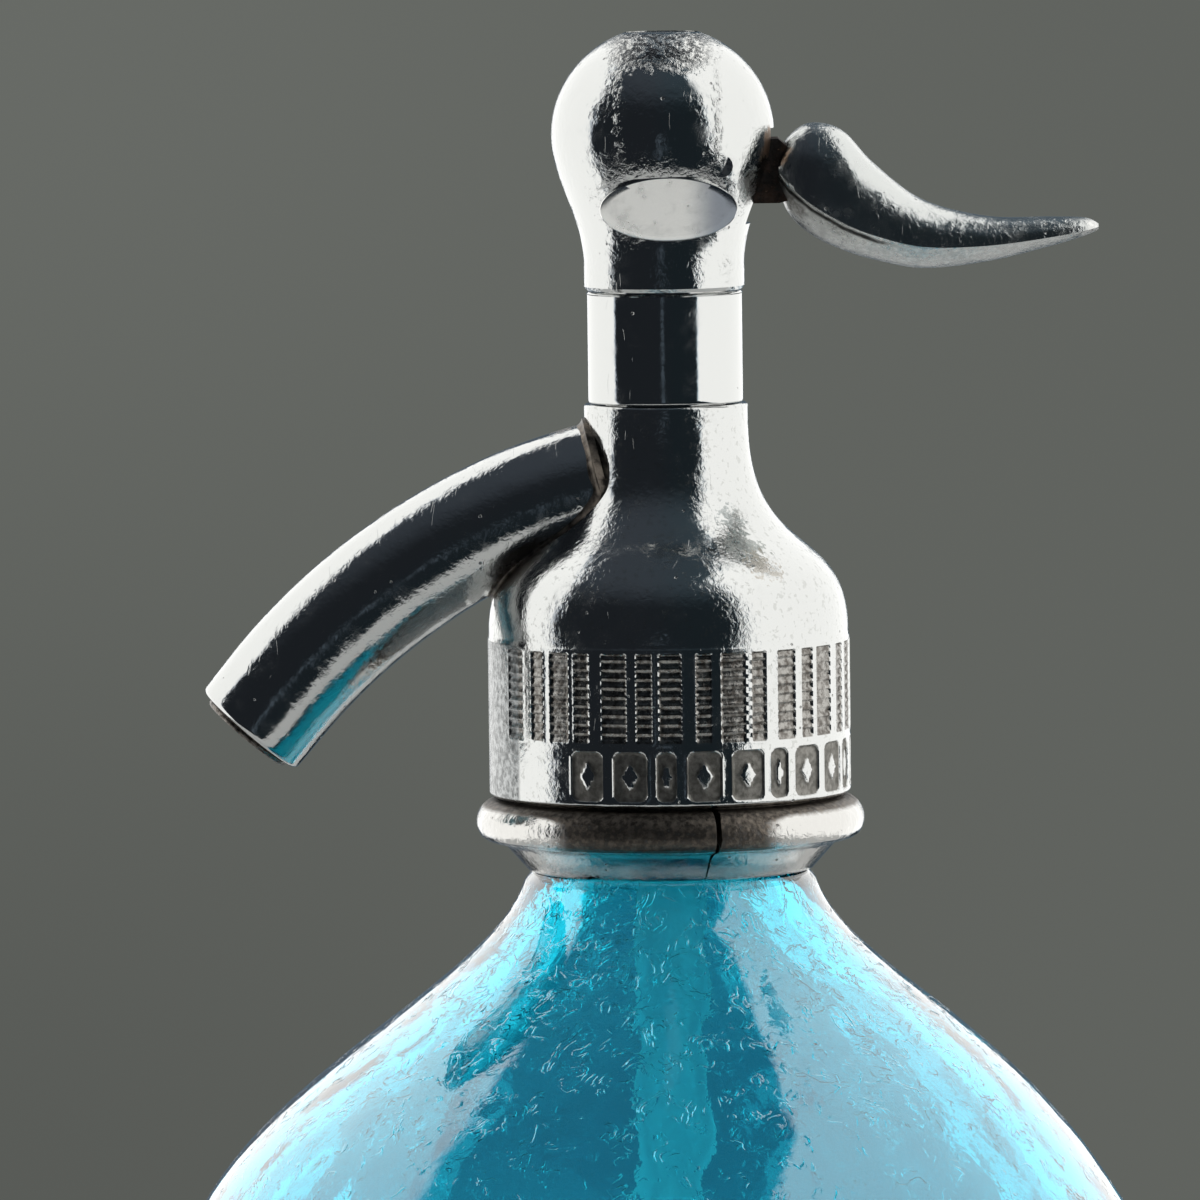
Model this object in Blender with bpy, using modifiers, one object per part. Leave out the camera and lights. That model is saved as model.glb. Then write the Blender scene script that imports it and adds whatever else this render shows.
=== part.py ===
"""Soda siphon: a glass bottle under a cast metal head with a bent spout and a thumb lever.

The bottle stands on the origin, +Z is up, the spout points to -X and the lever to +X.
The lever lifts a sprung spindle that carries the valve seal. Lengths are in metres.
"""
import math

import bmesh
import bpy
from mathutils import Matrix, Vector

# Gaps and overruns that every piece shares
SEAT_GAP = 0.0003
CUT_OVERRUN = 0.002
MERGE_DISTANCE = 0.00001

# How finely the round pieces are divided
BOTTLE_STEPS = 44
HEAD_STEPS = 36
INNER_STEPS = 16
SPOUT_BEVEL_RESOLUTION = 8

# Bottle body
NECK_LEVEL = 0.204
BOTTLE_RADIUS = 0.0575
GLASS_WALL = 0.0055
BASE_THICKNESS = 0.009
HEEL_RADIUS = 0.009
INNER_HEEL_RADIUS = 0.007
FOOT_RING_WIDTH = 0.004
PUSH_UP = 0.003

# Bottle shoulder, a curve from the neck down to the straight wall
SHOULDER_DROP = 0.0573
SHOULDER_TOP_LIFT = 0.0005
SHOULDER_TOP_LEAN = math.radians(17.5)
SHOULDER_TOP_PULL = 0.0141
SHOULDER_WALL_PULL = 0.0338

# Bottle neck
NECK_BORE_RADIUS = 0.0115
NECK_WALL = 0.0027
NECK_FILLET = 0.0022
GROOVE_HEIGHT = 0.010
LIP_PROUD = 0.0026
LIP_HEIGHT = 0.0085
LIP_ROUNDING = 0.0012

# Split collar that grips the glass under its lip
COLLAR_WALL = 0.0011
COLLAR_THREAD_HEIGHT = 0.0095
COLLAR_FOOT_RISE = 0.0012
COLLAR_FOOT_PROUD = 0.0002
COLLAR_FOOT_WALL = 0.0007
COLLAR_WAIST_RISE = 0.0006
COLLAR_WAIST_STEP = 0.0003
COLLAR_THROAT_RISE = 0.0025
COLLAR_THROAT_FLARE = 0.0009
COLLAR_HOOK_RISE = 0.0020
BEAD_RISE = 0.0061
BEAD_RADIUS = 0.0026
BEAD_PROUD = 0.0015
COLLAR_SEAM_ANGLE = math.radians(14)

# Head body
SKIRT_WALL = 0.0018
SKIRT_HEIGHT = 0.0183
SKIRT_EDGE = 0.0004
HEAD_SHOULDER_RISE = 0.0237
HEAD_SHOULDER_LOW_PULL = 0.0123
HEAD_SHOULDER_HIGH_PULL = 0.0163
HEAD_NECK_WALL = 0.0021
HEAD_NECK_LAND = 0.0019
PASSAGE_RADIUS = 0.0050
PASSAGE_LENGTH = 0.0080
CHAMBER_WALL = 0.0013

# Spout, bent on one radius and straight at its tip
SPOUT_RADIUS = 0.0068
SPOUT_BORE_RADIUS = 0.0042
SPOUT_BEND_RADIUS = 0.0735
SPOUT_BEND_SIDE = 0.0108
SPOUT_ROOT_DROP = 0.0067
SPOUT_END_ANGLE = math.radians(49)
SPOUT_STRAIGHT = 0.005
SPOUT_LIP_ROUNDING = 0.001
TENON_WALL = 0.0010

# Valve seat, seal and the cup that holds the seal
SEAT_HEIGHT = 0.0075
SEAT_BORE_RADIUS = 0.0025
SEAT_RIM_WALL = 0.0009
SEAT_RIM_HEIGHT = 0.0010
SEAL_RADIUS = 0.0040
SEAL_THICKNESS = 0.0020
CUP_WALL = 0.0010
CUP_TOP = 0.0020
CUP_SKIRT = 0.0013

# Spindle
SPINDLE_RADIUS = 0.0014
SPINDLE_COLLAR_RADIUS = 0.0026
SPINDLE_COLLAR_HEIGHT = 0.0008
SPINDLE_COLLAR_CLEARANCE = 0.0006
SPINDLE_TIP = 0.0012
SPINDLE_RUNNING_GAP = 0.0004
NUT_RADIUS = 0.0034
NUT_HEIGHT = 0.0026

# Valve barrel, the plain sleeve between the head and the ball
BARREL_BORE_RADIUS = 0.0049
SPIGOT_WALL = 0.0019
BARREL_STEP = 0.0019
BARREL_EXPOSED = 0.0121
LOWER_SPIGOT = 0.0040
UPPER_SPIGOT = 0.0045
BARREL_FLOOR = 0.0020
PACKING_HEIGHT = 0.0022
GLAND_HEIGHT = 0.0034

# Return spring
SPRING_WIRE_RADIUS = 0.00045
SPRING_COIL_RADIUS = 0.0034
SPRING_TURNS = 5.5
SPRING_POINTS_PER_TURN = 8
SPRING_WASHER_HEIGHT = 0.0008

# Ball housing
HOUSING_NECK_WALL = 0.0019
HOUSING_NECK_LAND = 0.0035
HOUSING_WEB = 0.0020
BALL_RADIUS = 0.0125
BALL_RISE = 0.0175
BALL_FLAT = 0.0010
BALL_LOW_PULL = 0.0080
HOUSING_NECK_PULL = 0.0040
CAVITY_RADIUS = 0.0060
CAVITY_TOP_RISE = 0.0047
PLUG_RADIUS = 0.0038
PLUG_STANDOFF = 0.0008
PLUG_SUNK = 0.0002
PLUG_SLOT_WIDTH = 0.0009
PLUG_SLOT_DEPTH = 0.0011

# Spanner flats, on an oval boss across the ball's underside
FLAT_HALF_WIDTH = 0.00765
FLAT_HALF_HEIGHT = 0.0036
FLAT_RISE = 0.00885
FLAT_TOP_REACH = 0.0120
FLAT_BOTTOM_REACH = 0.0099

# Lever pin and steel arm
PIVOT_OFFSET = 0.0065
PIVOT_DROP = 0.0033
PIN_RADIUS = 0.00125
PIN_SUNK = 0.0002
HUB_RADIUS = 0.0034
ARM_THICKNESS = 0.0060
ARM_RISE = 0.0027
ARM_DROP = 0.0045
FORK_TIP_RADIUS = 0.0015
FORK_FLAT = 0.0033
FORK_CLEARANCE = 0.0004
FORK_DEPTH = 0.0022
TANG_INSET = 0.0021
TANG_LENGTH = 0.0100
TANG_START_RISE = 0.0008
TANG_START_DROP = 0.0040
TANG_END_RISE = -0.0038
TANG_END_DROP = 0.0076
SLOT_ABOVE_PIVOT = 0.0065
SLOT_BELOW_PIVOT = 0.0068

# Cast lever handle: each row gives how far along it stands, then the height of its top, of its
# chine and of its belly, and its half width
LEVER_LENGTH = 0.0358
LEVER_DEPTH = 0.0164
LEVER_HALF_WIDTH = 0.0064
LEVER_STANDOFF = 0.0004
LEVER_LOW_POINT = 0.0121
LEVER_ROW_SHARES = (
    (0.00, 0.76, 0.67, 0.57, 0.66),
    (0.03, 0.90, 0.59, 0.39, 0.78),
    (0.10, 1.00, 0.46, 0.24, 0.94),
    (0.20, 0.95, 0.33, 0.13, 1.00),
    (0.30, 0.72, 0.24, 0.06, 0.98),
    (0.45, 0.47, 0.16, 0.00, 0.91),
    (0.65, 0.35, 0.16, 0.04, 0.76),
    (0.85, 0.34, 0.21, 0.14, 0.58),
    (0.96, 0.33, 0.25, 0.21, 0.38),
    (1.00, 0.29, 0.27, 0.25, 0.12),
)
LEVER_BETWEEN_STEPS = 2
LEVER_SECTION_STEPS = 8
LEVER_SIDE_FULLNESS_SHARE = 0.75
LEVER_TOP_FULLNESS_SHARE = 0.85
LEVER_BELLY_POWER_SHARE = 1.8

# Tube that draws water from the bottom of the bottle
TUBE_BORE_RADIUS = 0.0025
TUBE_WALL = 0.0015
TUBE_FOOT_CLEARANCE = 0.006
TUBE_HEAD_SUNK = 0.0005
GROMMET_WALL = 0.0018
GROMMET_LENGTH = 0.009
HOLDER_FLANGE = 0.0014
HOLDER_FLANGE_RADIUS = 0.0156
HOLDER_SLEEVE = 0.0125
HOLDER_SHELF = 0.0015
GASKET_THICKNESS = 0.0012
GASKET_HOLE_RADIUS = 0.0060

# Radii that follow, from the glass neck outwards
groove_radius = NECK_BORE_RADIUS + NECK_WALL
lip_radius = groove_radius + LIP_PROUD
shoulder_top_radius = groove_radius + NECK_FILLET
collar_bore = lip_radius + SEAT_GAP
collar_thread_radius = collar_bore + COLLAR_WALL
skirt_bore = collar_thread_radius + SEAT_GAP
skirt_radius = skirt_bore + SKIRT_WALL
spigot_radius = BARREL_BORE_RADIUS + SPIGOT_WALL
socket_radius = spigot_radius + SEAT_GAP
head_neck_radius = socket_radius + HEAD_NECK_WALL
barrel_radius = spigot_radius + BARREL_STEP
housing_neck_radius = socket_radius + HOUSING_NECK_WALL
chamber_radius = PASSAGE_RADIUS + CHAMBER_WALL
tube_radius = TUBE_BORE_RADIUS + TUBE_WALL

# Levels that follow, from the bottle's neck upwards
lip_base = NECK_LEVEL + GROOVE_HEIGHT
lip_top = lip_base + LIP_HEIGHT
collar_foot = NECK_LEVEL + COLLAR_FOOT_RISE
bead_level = collar_foot + BEAD_RISE
collar_top = bead_level + BEAD_RADIUS
collar_thread_top = collar_top + COLLAR_THREAD_HEIGHT
flange_base = lip_top + SEAT_GAP
flange_top = flange_base + HOLDER_FLANGE
gasket_base = flange_top + SEAT_GAP
gasket_top = gasket_base + GASKET_THICKNESS
skirt_ceiling = gasket_top + SEAT_GAP
skirt_bottom = collar_top + SEAT_GAP
head_shoulder_base = skirt_bottom + SKIRT_HEIGHT
head_shoulder_top = head_shoulder_base + HEAD_SHOULDER_RISE
head_top = head_shoulder_top + HEAD_NECK_LAND
barrel_base = head_top + SEAT_GAP
barrel_top = barrel_base + BARREL_EXPOSED
barrel_bottom = barrel_base - LOWER_SPIGOT
chamber_top = barrel_bottom - SEAT_GAP
chamber_floor = skirt_ceiling + PASSAGE_LENGTH
seat_base = chamber_floor + SEAT_GAP
seat_top = seat_base + SEAT_HEIGHT
seal_base = seat_top + SEAT_GAP
seal_top = seal_base + SEAL_THICKNESS
cup_plate = seal_top + SEAT_GAP
cup_top = cup_plate + CUP_TOP
packing_base = barrel_bottom + BARREL_FLOOR + SEAT_GAP
gland_base = packing_base + PACKING_HEIGHT + SEAT_GAP
gland_top = gland_base + GLAND_HEIGHT
spindle_collar_base = gland_top + SPINDLE_COLLAR_CLEARANCE
spindle_collar_top = spindle_collar_base + SPINDLE_COLLAR_HEIGHT
washer_base = spindle_collar_top + SEAT_GAP
spring_base = washer_base + SPRING_WASHER_HEIGHT + SEAT_GAP
housing_base = barrel_top + SEAT_GAP
socket_top = barrel_top + UPPER_SPIGOT + SEAT_GAP
spring_top = socket_top - SEAT_GAP
cavity_floor = socket_top + HOUSING_WEB
ball_level = housing_base + BALL_RISE
ball_top = ball_level + BALL_RADIUS - BALL_FLAT
cavity_top = ball_level + CAVITY_TOP_RISE
pivot_level = ball_level - PIVOT_DROP
nut_base = pivot_level + FORK_TIP_RADIUS + SEAT_GAP
nut_top = nut_base + NUT_HEIGHT
lever_root = BALL_RADIUS + LEVER_STANDOFF

# The spout's bend: its centre, and the angles from upright where the pieces of the bend end
bend_centre = (SPOUT_BEND_SIDE, head_top - SPOUT_ROOT_DROP - SPOUT_BEND_RADIUS)
tenon_radius = SPOUT_BORE_RADIUS + TENON_WALL


def clear_scene():
    """Remove whatever the scene holds."""
    for thing in list(bpy.data.objects):
        bpy.data.objects.remove(thing, do_unlink=True)


def new_collection(name):
    """A collection linked to the scene."""
    collection = bpy.data.collections.new(name)
    bpy.context.scene.collection.children.link(collection)
    return collection


def finish_material(name, colour, roughness, metallic=0.0, transmission=0.0):
    """A Principled material of one colour."""
    material = bpy.data.materials.new(name)
    material.use_nodes = True
    shader = material.node_tree.nodes["Principled BSDF"]
    shader.inputs["Base Color"].default_value = (*colour, 1.0)
    shader.inputs["Roughness"].default_value = roughness
    shader.inputs["Metallic"].default_value = metallic
    shader.inputs["Transmission Weight"].default_value = transmission
    material.diffuse_color = (*colour, 1.0)
    return material


def pewter(name):
    return finish_material(name, (0.62, 0.63, 0.62), 0.16, metallic=1.0)


def brass(name):
    return finish_material(name, (0.62, 0.47, 0.22), 0.32, metallic=1.0)


def steel(name):
    return finish_material(name, (0.42, 0.42, 0.43), 0.35, metallic=1.0)


def rusty_steel(name):
    return finish_material(name, (0.10, 0.055, 0.035), 0.75, metallic=0.4)


def rubber(name):
    return finish_material(name, (0.03, 0.03, 0.032), 0.7)


def turquoise_glass(name):
    return finish_material(name, (0.05, 0.55, 0.65), 0.05, transmission=1.0)


def clear_glass(name):
    return finish_material(name, (0.75, 0.90, 0.92), 0.05, transmission=1.0)


def add_object(name, mesh, material, collection):
    """Put a mesh in the scene as one sub-part, or as a cutter when it has no material."""
    thing = bpy.data.objects.new(name, mesh)
    collection.objects.link(thing)
    if material is None:
        thing.hide_render = True
        thing.display_type = "WIRE"
    else:
        mesh.materials.append(material)
    return thing


def turned(name, outline, steps, material, collection, closed=True):
    """Turn an outline of (radius, height) points about Z; its outer side runs downwards."""
    mesh = bpy.data.meshes.new(name)
    points = [(radius, 0.0, height) for radius, height in outline]
    edges = [(index, index + 1) for index in range(len(points) - 1)]
    if closed:
        edges.append((len(points) - 1, 0))
    mesh.from_pydata(points, edges, [])
    thing = add_object(name, mesh, material, collection)
    screw = thing.modifiers.new("Turn", "SCREW")
    screw.angle = math.tau
    screw.steps = steps
    screw.render_steps = steps
    screw.use_merge_vertices = True
    screw.merge_threshold = MERGE_DISTANCE
    screw.use_smooth_shade = True
    return thing


def ring(name, inner, outer, base, top, material, collection, steps=INNER_STEPS):
    """A plain ring between two radii and two levels."""
    outline = [(inner, top), (outer, top), (outer, base), (inner, base)]
    return turned(name, outline, steps, material, collection)


def cylinder(name, radius, start, end, steps, material, collection):
    """A round bar from one point to another."""
    start, end = Vector(start), Vector(end)
    run = end - start
    mesh = bpy.data.meshes.new(name)
    model = bmesh.new()
    place = Matrix.Translation((start + end) / 2) @ run.to_track_quat("Z", "Y").to_matrix().to_4x4()
    bmesh.ops.create_cone(model, cap_ends=True, segments=steps, radius1=radius, radius2=radius,
                          depth=run.length, matrix=place)
    model.to_mesh(mesh)
    model.free()
    return add_object(name, mesh, material, collection)


def box(name, low, high, material, collection, turn=Matrix.Identity(4)):
    """A box between two corners, turned about the origin."""
    low, high = Vector(low), Vector(high)
    size = high - low
    mesh = bpy.data.meshes.new(name)
    model = bmesh.new()
    place = turn @ Matrix.Translation((low + high) / 2) @ Matrix.Diagonal((*size, 1.0))
    bmesh.ops.create_cube(model, size=1.0, matrix=place)
    model.to_mesh(mesh)
    model.free()
    return add_object(name, mesh, material, collection)


def combine(thing, other, operation):
    """Boolean one piece with another: UNION, DIFFERENCE or INTERSECT."""
    boolean = thing.modifiers.new(other.name, "BOOLEAN")
    boolean.operation = operation
    boolean.object = other
    boolean.solver = "EXACT"
    return thing


def mesh_of_curve(curve_object, material, collection):
    """Make a curve piece a closed mesh with welded caps, so that it can be cut."""
    view = bpy.context.evaluated_depsgraph_get()
    mesh = bpy.data.meshes.new_from_object(curve_object.evaluated_get(view))
    model = bmesh.new()
    model.from_mesh(mesh)
    bmesh.ops.remove_doubles(model, verts=model.verts, dist=MERGE_DISTANCE)
    model.to_mesh(mesh)
    model.free()
    mesh.materials.clear()
    name = curve_object.name
    place = curve_object.matrix_world.copy()
    bpy.data.objects.remove(curve_object, do_unlink=True)
    mesh.name = name
    thing = add_object(name, mesh, material, collection)
    thing.matrix_world = place
    return thing


def tube(name, path, radius, bevel_resolution, collection, radius_shares=None):
    """A round rod along a path of points, whose radius may change along it."""
    curve = bpy.data.curves.new(name, "CURVE")
    curve.dimensions = "3D"
    curve.bevel_depth = radius
    curve.bevel_resolution = bevel_resolution
    curve.use_fill_caps = True
    spline = curve.splines.new("POLY")
    spline.points.add(len(path) - 1)
    for index, place in enumerate(path):
        spline.points[index].co = (*place, 1.0)
        if radius_shares:
            spline.points[index].radius = radius_shares[index]
    thing = bpy.data.objects.new(name, curve)
    collection.objects.link(thing)
    return thing


def bezier(start, start_pull, end_pull, end, steps):
    """Points of a cubic curve between two points, with its two pulls given as points."""
    points = []
    for index in range(steps + 1):
        t = index / steps
        weights = ((1 - t) ** 3, 3 * t * (1 - t) ** 2, 3 * t * t * (1 - t), t ** 3)
        corners = (start, start_pull, end_pull, end)
        points.append(tuple(sum(w * c[k] for w, c in zip(weights, corners)) for k in (0, 1)))
    return points


def arc(centre, radius, first, last, steps):
    """Points of an arc between two angles, in degrees, measured from the outward side."""
    points = []
    for index in range(steps + 1):
        angle = math.radians(first + (last - first) * index / steps)
        points.append((centre[0] + radius * math.cos(angle), centre[1] + radius * math.sin(angle)))
    return points


def offset_inwards(points, walls):
    """Move each point of an outline that runs downwards inwards by its own wall."""
    moved = []
    for index, (radius, height) in enumerate(points):
        before = points[max(index - 1, 0)]
        after = points[min(index + 1, len(points) - 1)]
        run, fall = after[0] - before[0], after[1] - before[1]
        length = math.hypot(run, fall)
        moved.append((radius + fall / length * walls[index], height - run / length * walls[index]))
    return moved


def bottle_shoulder(steps):
    """The outer shoulder, from the neck down to the straight wall."""
    top = (shoulder_top_radius, NECK_LEVEL + SHOULDER_TOP_LIFT)
    foot = (BOTTLE_RADIUS, NECK_LEVEL - SHOULDER_DROP)
    top_pull = (top[0] + SHOULDER_TOP_PULL * math.sin(SHOULDER_TOP_LEAN),
                top[1] - SHOULDER_TOP_PULL * math.cos(SHOULDER_TOP_LEAN))
    return bezier(top, top_pull, (foot[0], foot[1] + SHOULDER_WALL_PULL), foot, steps)


def make_bottle(collection):
    """Blown glass bottle: push-up base, straight wall, round shoulder and a lipped neck."""
    shoulder = bottle_shoulder(12)
    inside_line = bottle_shoulder(7)
    neck_wall = shoulder_top_radius - NECK_BORE_RADIUS
    last = len(inside_line) - 1
    walls = [neck_wall + (GLASS_WALL - neck_wall) * index / last for index in range(last + 1)]
    inner_radius = BOTTLE_RADIUS - GLASS_WALL
    floor = PUSH_UP + BASE_THICKNESS
    inner_floor = bezier((0.0, floor), (inner_radius / 2, floor),
                         (inner_radius - 2 * INNER_HEEL_RADIUS, BASE_THICKNESS),
                         (inner_radius - INNER_HEEL_RADIUS, BASE_THICKNESS), 4)
    inner_heel_centre = (inner_radius - INNER_HEEL_RADIUS, BASE_THICKNESS + INNER_HEEL_RADIUS)
    inner_heel = arc(inner_heel_centre, INNER_HEEL_RADIUS, -90, 0, 3)[1:]
    inner_shoulder = offset_inwards(inside_line, walls)[::-1]
    bore = [(NECK_BORE_RADIUS, NECK_LEVEL + SHOULDER_TOP_LIFT)]
    lip_inside = arc((NECK_BORE_RADIUS + LIP_ROUNDING, lip_top - LIP_ROUNDING), LIP_ROUNDING, 180, 90, 2)
    lip_outside = arc((lip_radius - LIP_ROUNDING, lip_top - LIP_ROUNDING), LIP_ROUNDING, 90, 0, 2)
    under_lip = [(lip_radius, lip_base), (groove_radius, lip_base)]
    fillet_centre = (shoulder_top_radius, NECK_LEVEL + SHOULDER_TOP_LIFT + NECK_FILLET)
    neck_fillet = arc(fillet_centre, NECK_FILLET, 180, 270, 3)[:-1]
    ring_radius = BOTTLE_RADIUS - HEEL_RADIUS
    heel = arc((ring_radius, HEEL_RADIUS), HEEL_RADIUS, 0, -90, 5)
    ring_inside = ring_radius - FOOT_RING_WIDTH
    push_up = bezier((ring_inside, 0.0), (ring_inside - PUSH_UP, PUSH_UP),
                     (ring_inside / 2, PUSH_UP), (0.0, PUSH_UP), 4)
    outline = (inner_floor + inner_heel + inner_shoulder + bore + lip_inside + lip_outside
               + under_lip + neck_fillet + shoulder + heel + push_up)
    return turned("bottle", outline, BOTTLE_STEPS, turquoise_glass("bottle_glass"), collection,
                  closed=False)


def collar_outline():
    """Section of the collar: thread, beaded rim, throat, foot and the hook under the glass lip."""
    foot_radius = shoulder_top_radius + COLLAR_FOOT_PROUD
    bead_centre = (skirt_radius + BEAD_PROUD - BEAD_RADIUS, bead_level)
    outline = [(collar_bore, collar_thread_top), (collar_thread_radius, collar_thread_top),
               (collar_thread_radius, collar_top)]
    outline += arc(bead_centre, BEAD_RADIUS, 90, -60, 8)
    outline += [(foot_radius + COLLAR_THROAT_FLARE, collar_foot + COLLAR_THROAT_RISE),
                (foot_radius - COLLAR_WAIST_STEP, collar_foot + COLLAR_WAIST_RISE),
                (foot_radius, collar_foot),
                (foot_radius - COLLAR_FOOT_WALL, collar_foot),
                (groove_radius + SEAT_GAP, collar_foot + COLLAR_HOOK_RISE),
                (groove_radius + SEAT_GAP, lip_base - SEAT_GAP),
                (collar_bore, lip_base - SEAT_GAP)]
    return outline


def make_collar_half(name, side, collection, cutters):
    """One half of the split collar, cut from a whole turned ring along the seam."""
    half = turned(name, collar_outline(), HEAD_STEPS, pewter(name + "_metal"), collection)
    reach = skirt_radius + BEAD_PROUD + CUT_OVERRUN
    edges = sorted((side * SEAT_GAP / 2, -side * reach))
    other_side = box(name + "_split", (edges[0], -reach, collar_foot - CUT_OVERRUN),
                     (edges[1], reach, collar_thread_top + CUT_OVERRUN), None, cutters,
                     turn=Matrix.Rotation(COLLAR_SEAM_ANGLE, 4, "Z"))
    return combine(half, other_side, "DIFFERENCE")


def head_outer(grow=0.0):
    """The head's outer side, from its neck down to the skirt, grown outwards if asked."""
    neck = head_neck_radius + grow
    skirt = skirt_radius + grow
    return bezier((neck, head_shoulder_top), (neck, head_shoulder_top - HEAD_SHOULDER_HIGH_PULL),
                  (skirt, head_shoulder_base + HEAD_SHOULDER_LOW_PULL),
                  (skirt, head_shoulder_base), 12)


def spout_point(angle):
    """A point on the spout's bend, at an angle from upright."""
    return (bend_centre[0] - SPOUT_BEND_RADIUS * math.sin(angle), 0.0,
            bend_centre[1] + SPOUT_BEND_RADIUS * math.cos(angle))


def bend_angle(reach):
    """The angle at which the spout's bend stands this far out from the head's axis."""
    return math.asin((SPOUT_BEND_SIDE + reach) / SPOUT_BEND_RADIUS)


def bend_path(first, last, steps):
    """Points along the bend between two angles."""
    return [spout_point(first + (last - first) * index / steps) for index in range(steps + 1)]


def make_head_body(collection, cutters):
    """Cast head: a skirt threaded over the collar, a valve chamber, and a hole for the spout."""
    outline = [(socket_radius, head_top), (head_neck_radius, head_top)] + head_outer()
    outline += [(skirt_radius, skirt_bottom + SKIRT_EDGE), (skirt_radius - SKIRT_EDGE, skirt_bottom),
                (skirt_bore, skirt_bottom), (skirt_bore, skirt_ceiling),
                (PASSAGE_RADIUS, skirt_ceiling), (PASSAGE_RADIUS, chamber_floor),
                (chamber_radius, chamber_floor), (chamber_radius, chamber_top),
                (socket_radius, chamber_top)]
    body = turned("head_body", outline, HEAD_STEPS, pewter("head_metal"), collection)
    path = bend_path(bend_angle(0.0), bend_angle(skirt_radius + CUT_OVERRUN), 6)
    hole = tube("spout_hole", path, tenon_radius + SEAT_GAP, SPOUT_BEVEL_RESOLUTION, cutters)
    return combine(body, mesh_of_curve(hole, None, cutters), "DIFFERENCE")


def spout_path():
    """The spout's middle line from inside the head to its tip, and its radius shares."""
    path = bend_path(bend_angle(0.0), SPOUT_END_ANGLE, 12)
    along = Vector((-math.cos(SPOUT_END_ANGLE), 0.0, -math.sin(SPOUT_END_ANGLE)))
    tip = Vector(path[-1]) + along * SPOUT_STRAIGHT
    shares = [1.0] * len(path)
    for angle in (0, 30, 60, 90):
        turn = math.radians(angle)
        path.append(tuple(tip - along * SPOUT_LIP_ROUNDING * (1 - math.sin(turn))))
        shares.append(1 - SPOUT_LIP_ROUNDING / SPOUT_RADIUS * (1 - math.cos(turn)))
    return path, shares


def make_spout(collection, cutters):
    """Bent spout: saddled on the head's shoulder, with a tenon in its wall and an open bore."""
    path, shares = spout_path()
    curve = tube("spout", path, SPOUT_RADIUS, SPOUT_BEVEL_RESOLUTION, collection, shares)
    spout = mesh_of_curve(curve, pewter("spout_metal"), collection)
    saddle_outline = [(0.0, head_top), (head_neck_radius + SEAT_GAP, head_top)]
    saddle_outline += head_outer(SEAT_GAP)
    saddle_outline += [(skirt_radius + SEAT_GAP, skirt_bottom), (0.0, skirt_bottom)]
    saddle = turned("spout_saddle", saddle_outline, HEAD_STEPS, None, cutters, closed=False)
    combine(spout, saddle, "DIFFERENCE")
    tenon_path = bend_path(bend_angle(0.0), bend_angle(skirt_radius + CUT_OVERRUN), 6)
    tenon = mesh_of_curve(tube("spout_tenon", tenon_path, tenon_radius, SPOUT_BEVEL_RESOLUTION,
                               cutters), None, cutters)
    combine(spout, tenon, "UNION")
    core = cylinder("spout_root_trim", socket_radius + SEAT_GAP, (0.0, 0.0, skirt_ceiling),
                    (0.0, 0.0, head_top), HEAD_STEPS, None, cutters)
    combine(spout, core, "DIFFERENCE")
    along = Vector(path[-1]) - Vector(path[-2])
    bore_path = path + [tuple(Vector(path[-1]) + along.normalized() * CUT_OVERRUN)]
    bore = mesh_of_curve(tube("spout_bore", bore_path, SPOUT_BORE_RADIUS, SPOUT_BEVEL_RESOLUTION,
                              cutters), None, cutters)
    return combine(spout, bore, "DIFFERENCE")


def make_valve_seat(collection):
    """Brass seat with a raised rim, on the step below the valve chamber."""
    outer = chamber_radius - SEAT_GAP
    rim = SEAT_BORE_RADIUS + SEAT_RIM_WALL
    outline = [(SEAT_BORE_RADIUS, seat_top), (rim, seat_top), (rim, seat_top - SEAT_RIM_HEIGHT),
               (outer, seat_top - SEAT_RIM_HEIGHT), (outer, seat_base),
               (SEAT_BORE_RADIUS, seat_base)]
    return turned("valve_seat", outline, INNER_STEPS, brass("seat_brass"), collection)


def make_valve_seal(collection):
    """Rubber disc that closes on the seat."""
    outline = [(0.0, seal_top), (SEAL_RADIUS, seal_top), (SEAL_RADIUS, seal_base), (0.0, seal_base)]
    return turned("valve_seal", outline, INNER_STEPS, rubber("seal_rubber"), collection, closed=False)


def make_seal_cup(collection):
    """Brass cup at the spindle's foot that holds the seal."""
    hole = SPINDLE_RADIUS + SEAT_GAP
    inner = SEAL_RADIUS + SEAT_GAP
    outer = inner + CUP_WALL
    outline = [(hole, cup_top), (outer, cup_top), (outer, cup_plate - CUP_SKIRT),
               (inner, cup_plate - CUP_SKIRT), (inner, cup_plate), (hole, cup_plate)]
    return turned("seal_cup", outline, INNER_STEPS, brass("cup_brass"), collection)


def make_spindle(collection):
    """Valve spindle: a rod with a collar that the spring presses down through a washer."""
    tip = nut_top + SPINDLE_TIP
    outline = [(0.0, tip), (SPINDLE_RADIUS, tip), (SPINDLE_RADIUS, spindle_collar_top),
               (SPINDLE_COLLAR_RADIUS, spindle_collar_top),
               (SPINDLE_COLLAR_RADIUS, spindle_collar_base), (SPINDLE_RADIUS, spindle_collar_base),
               (SPINDLE_RADIUS, cup_plate), (0.0, cup_plate)]
    return turned("valve_spindle", outline, INNER_STEPS, steel("spindle_steel"), collection,
                  closed=False)


def make_lifting_nut(collection, cutters):
    """Hexagon nut on the spindle, above the lever's fork."""
    nut = cylinder("lifting_nut", NUT_RADIUS, (0.0, 0.0, nut_base), (0.0, 0.0, nut_top), 6,
                   brass("nut_brass"), collection)
    hole = cylinder("nut_hole", SPINDLE_RADIUS + SEAT_GAP, (0.0, 0.0, nut_base - CUT_OVERRUN),
                    (0.0, 0.0, nut_top + CUT_OVERRUN), INNER_STEPS, None, cutters)
    return combine(nut, hole, "DIFFERENCE")


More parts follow.
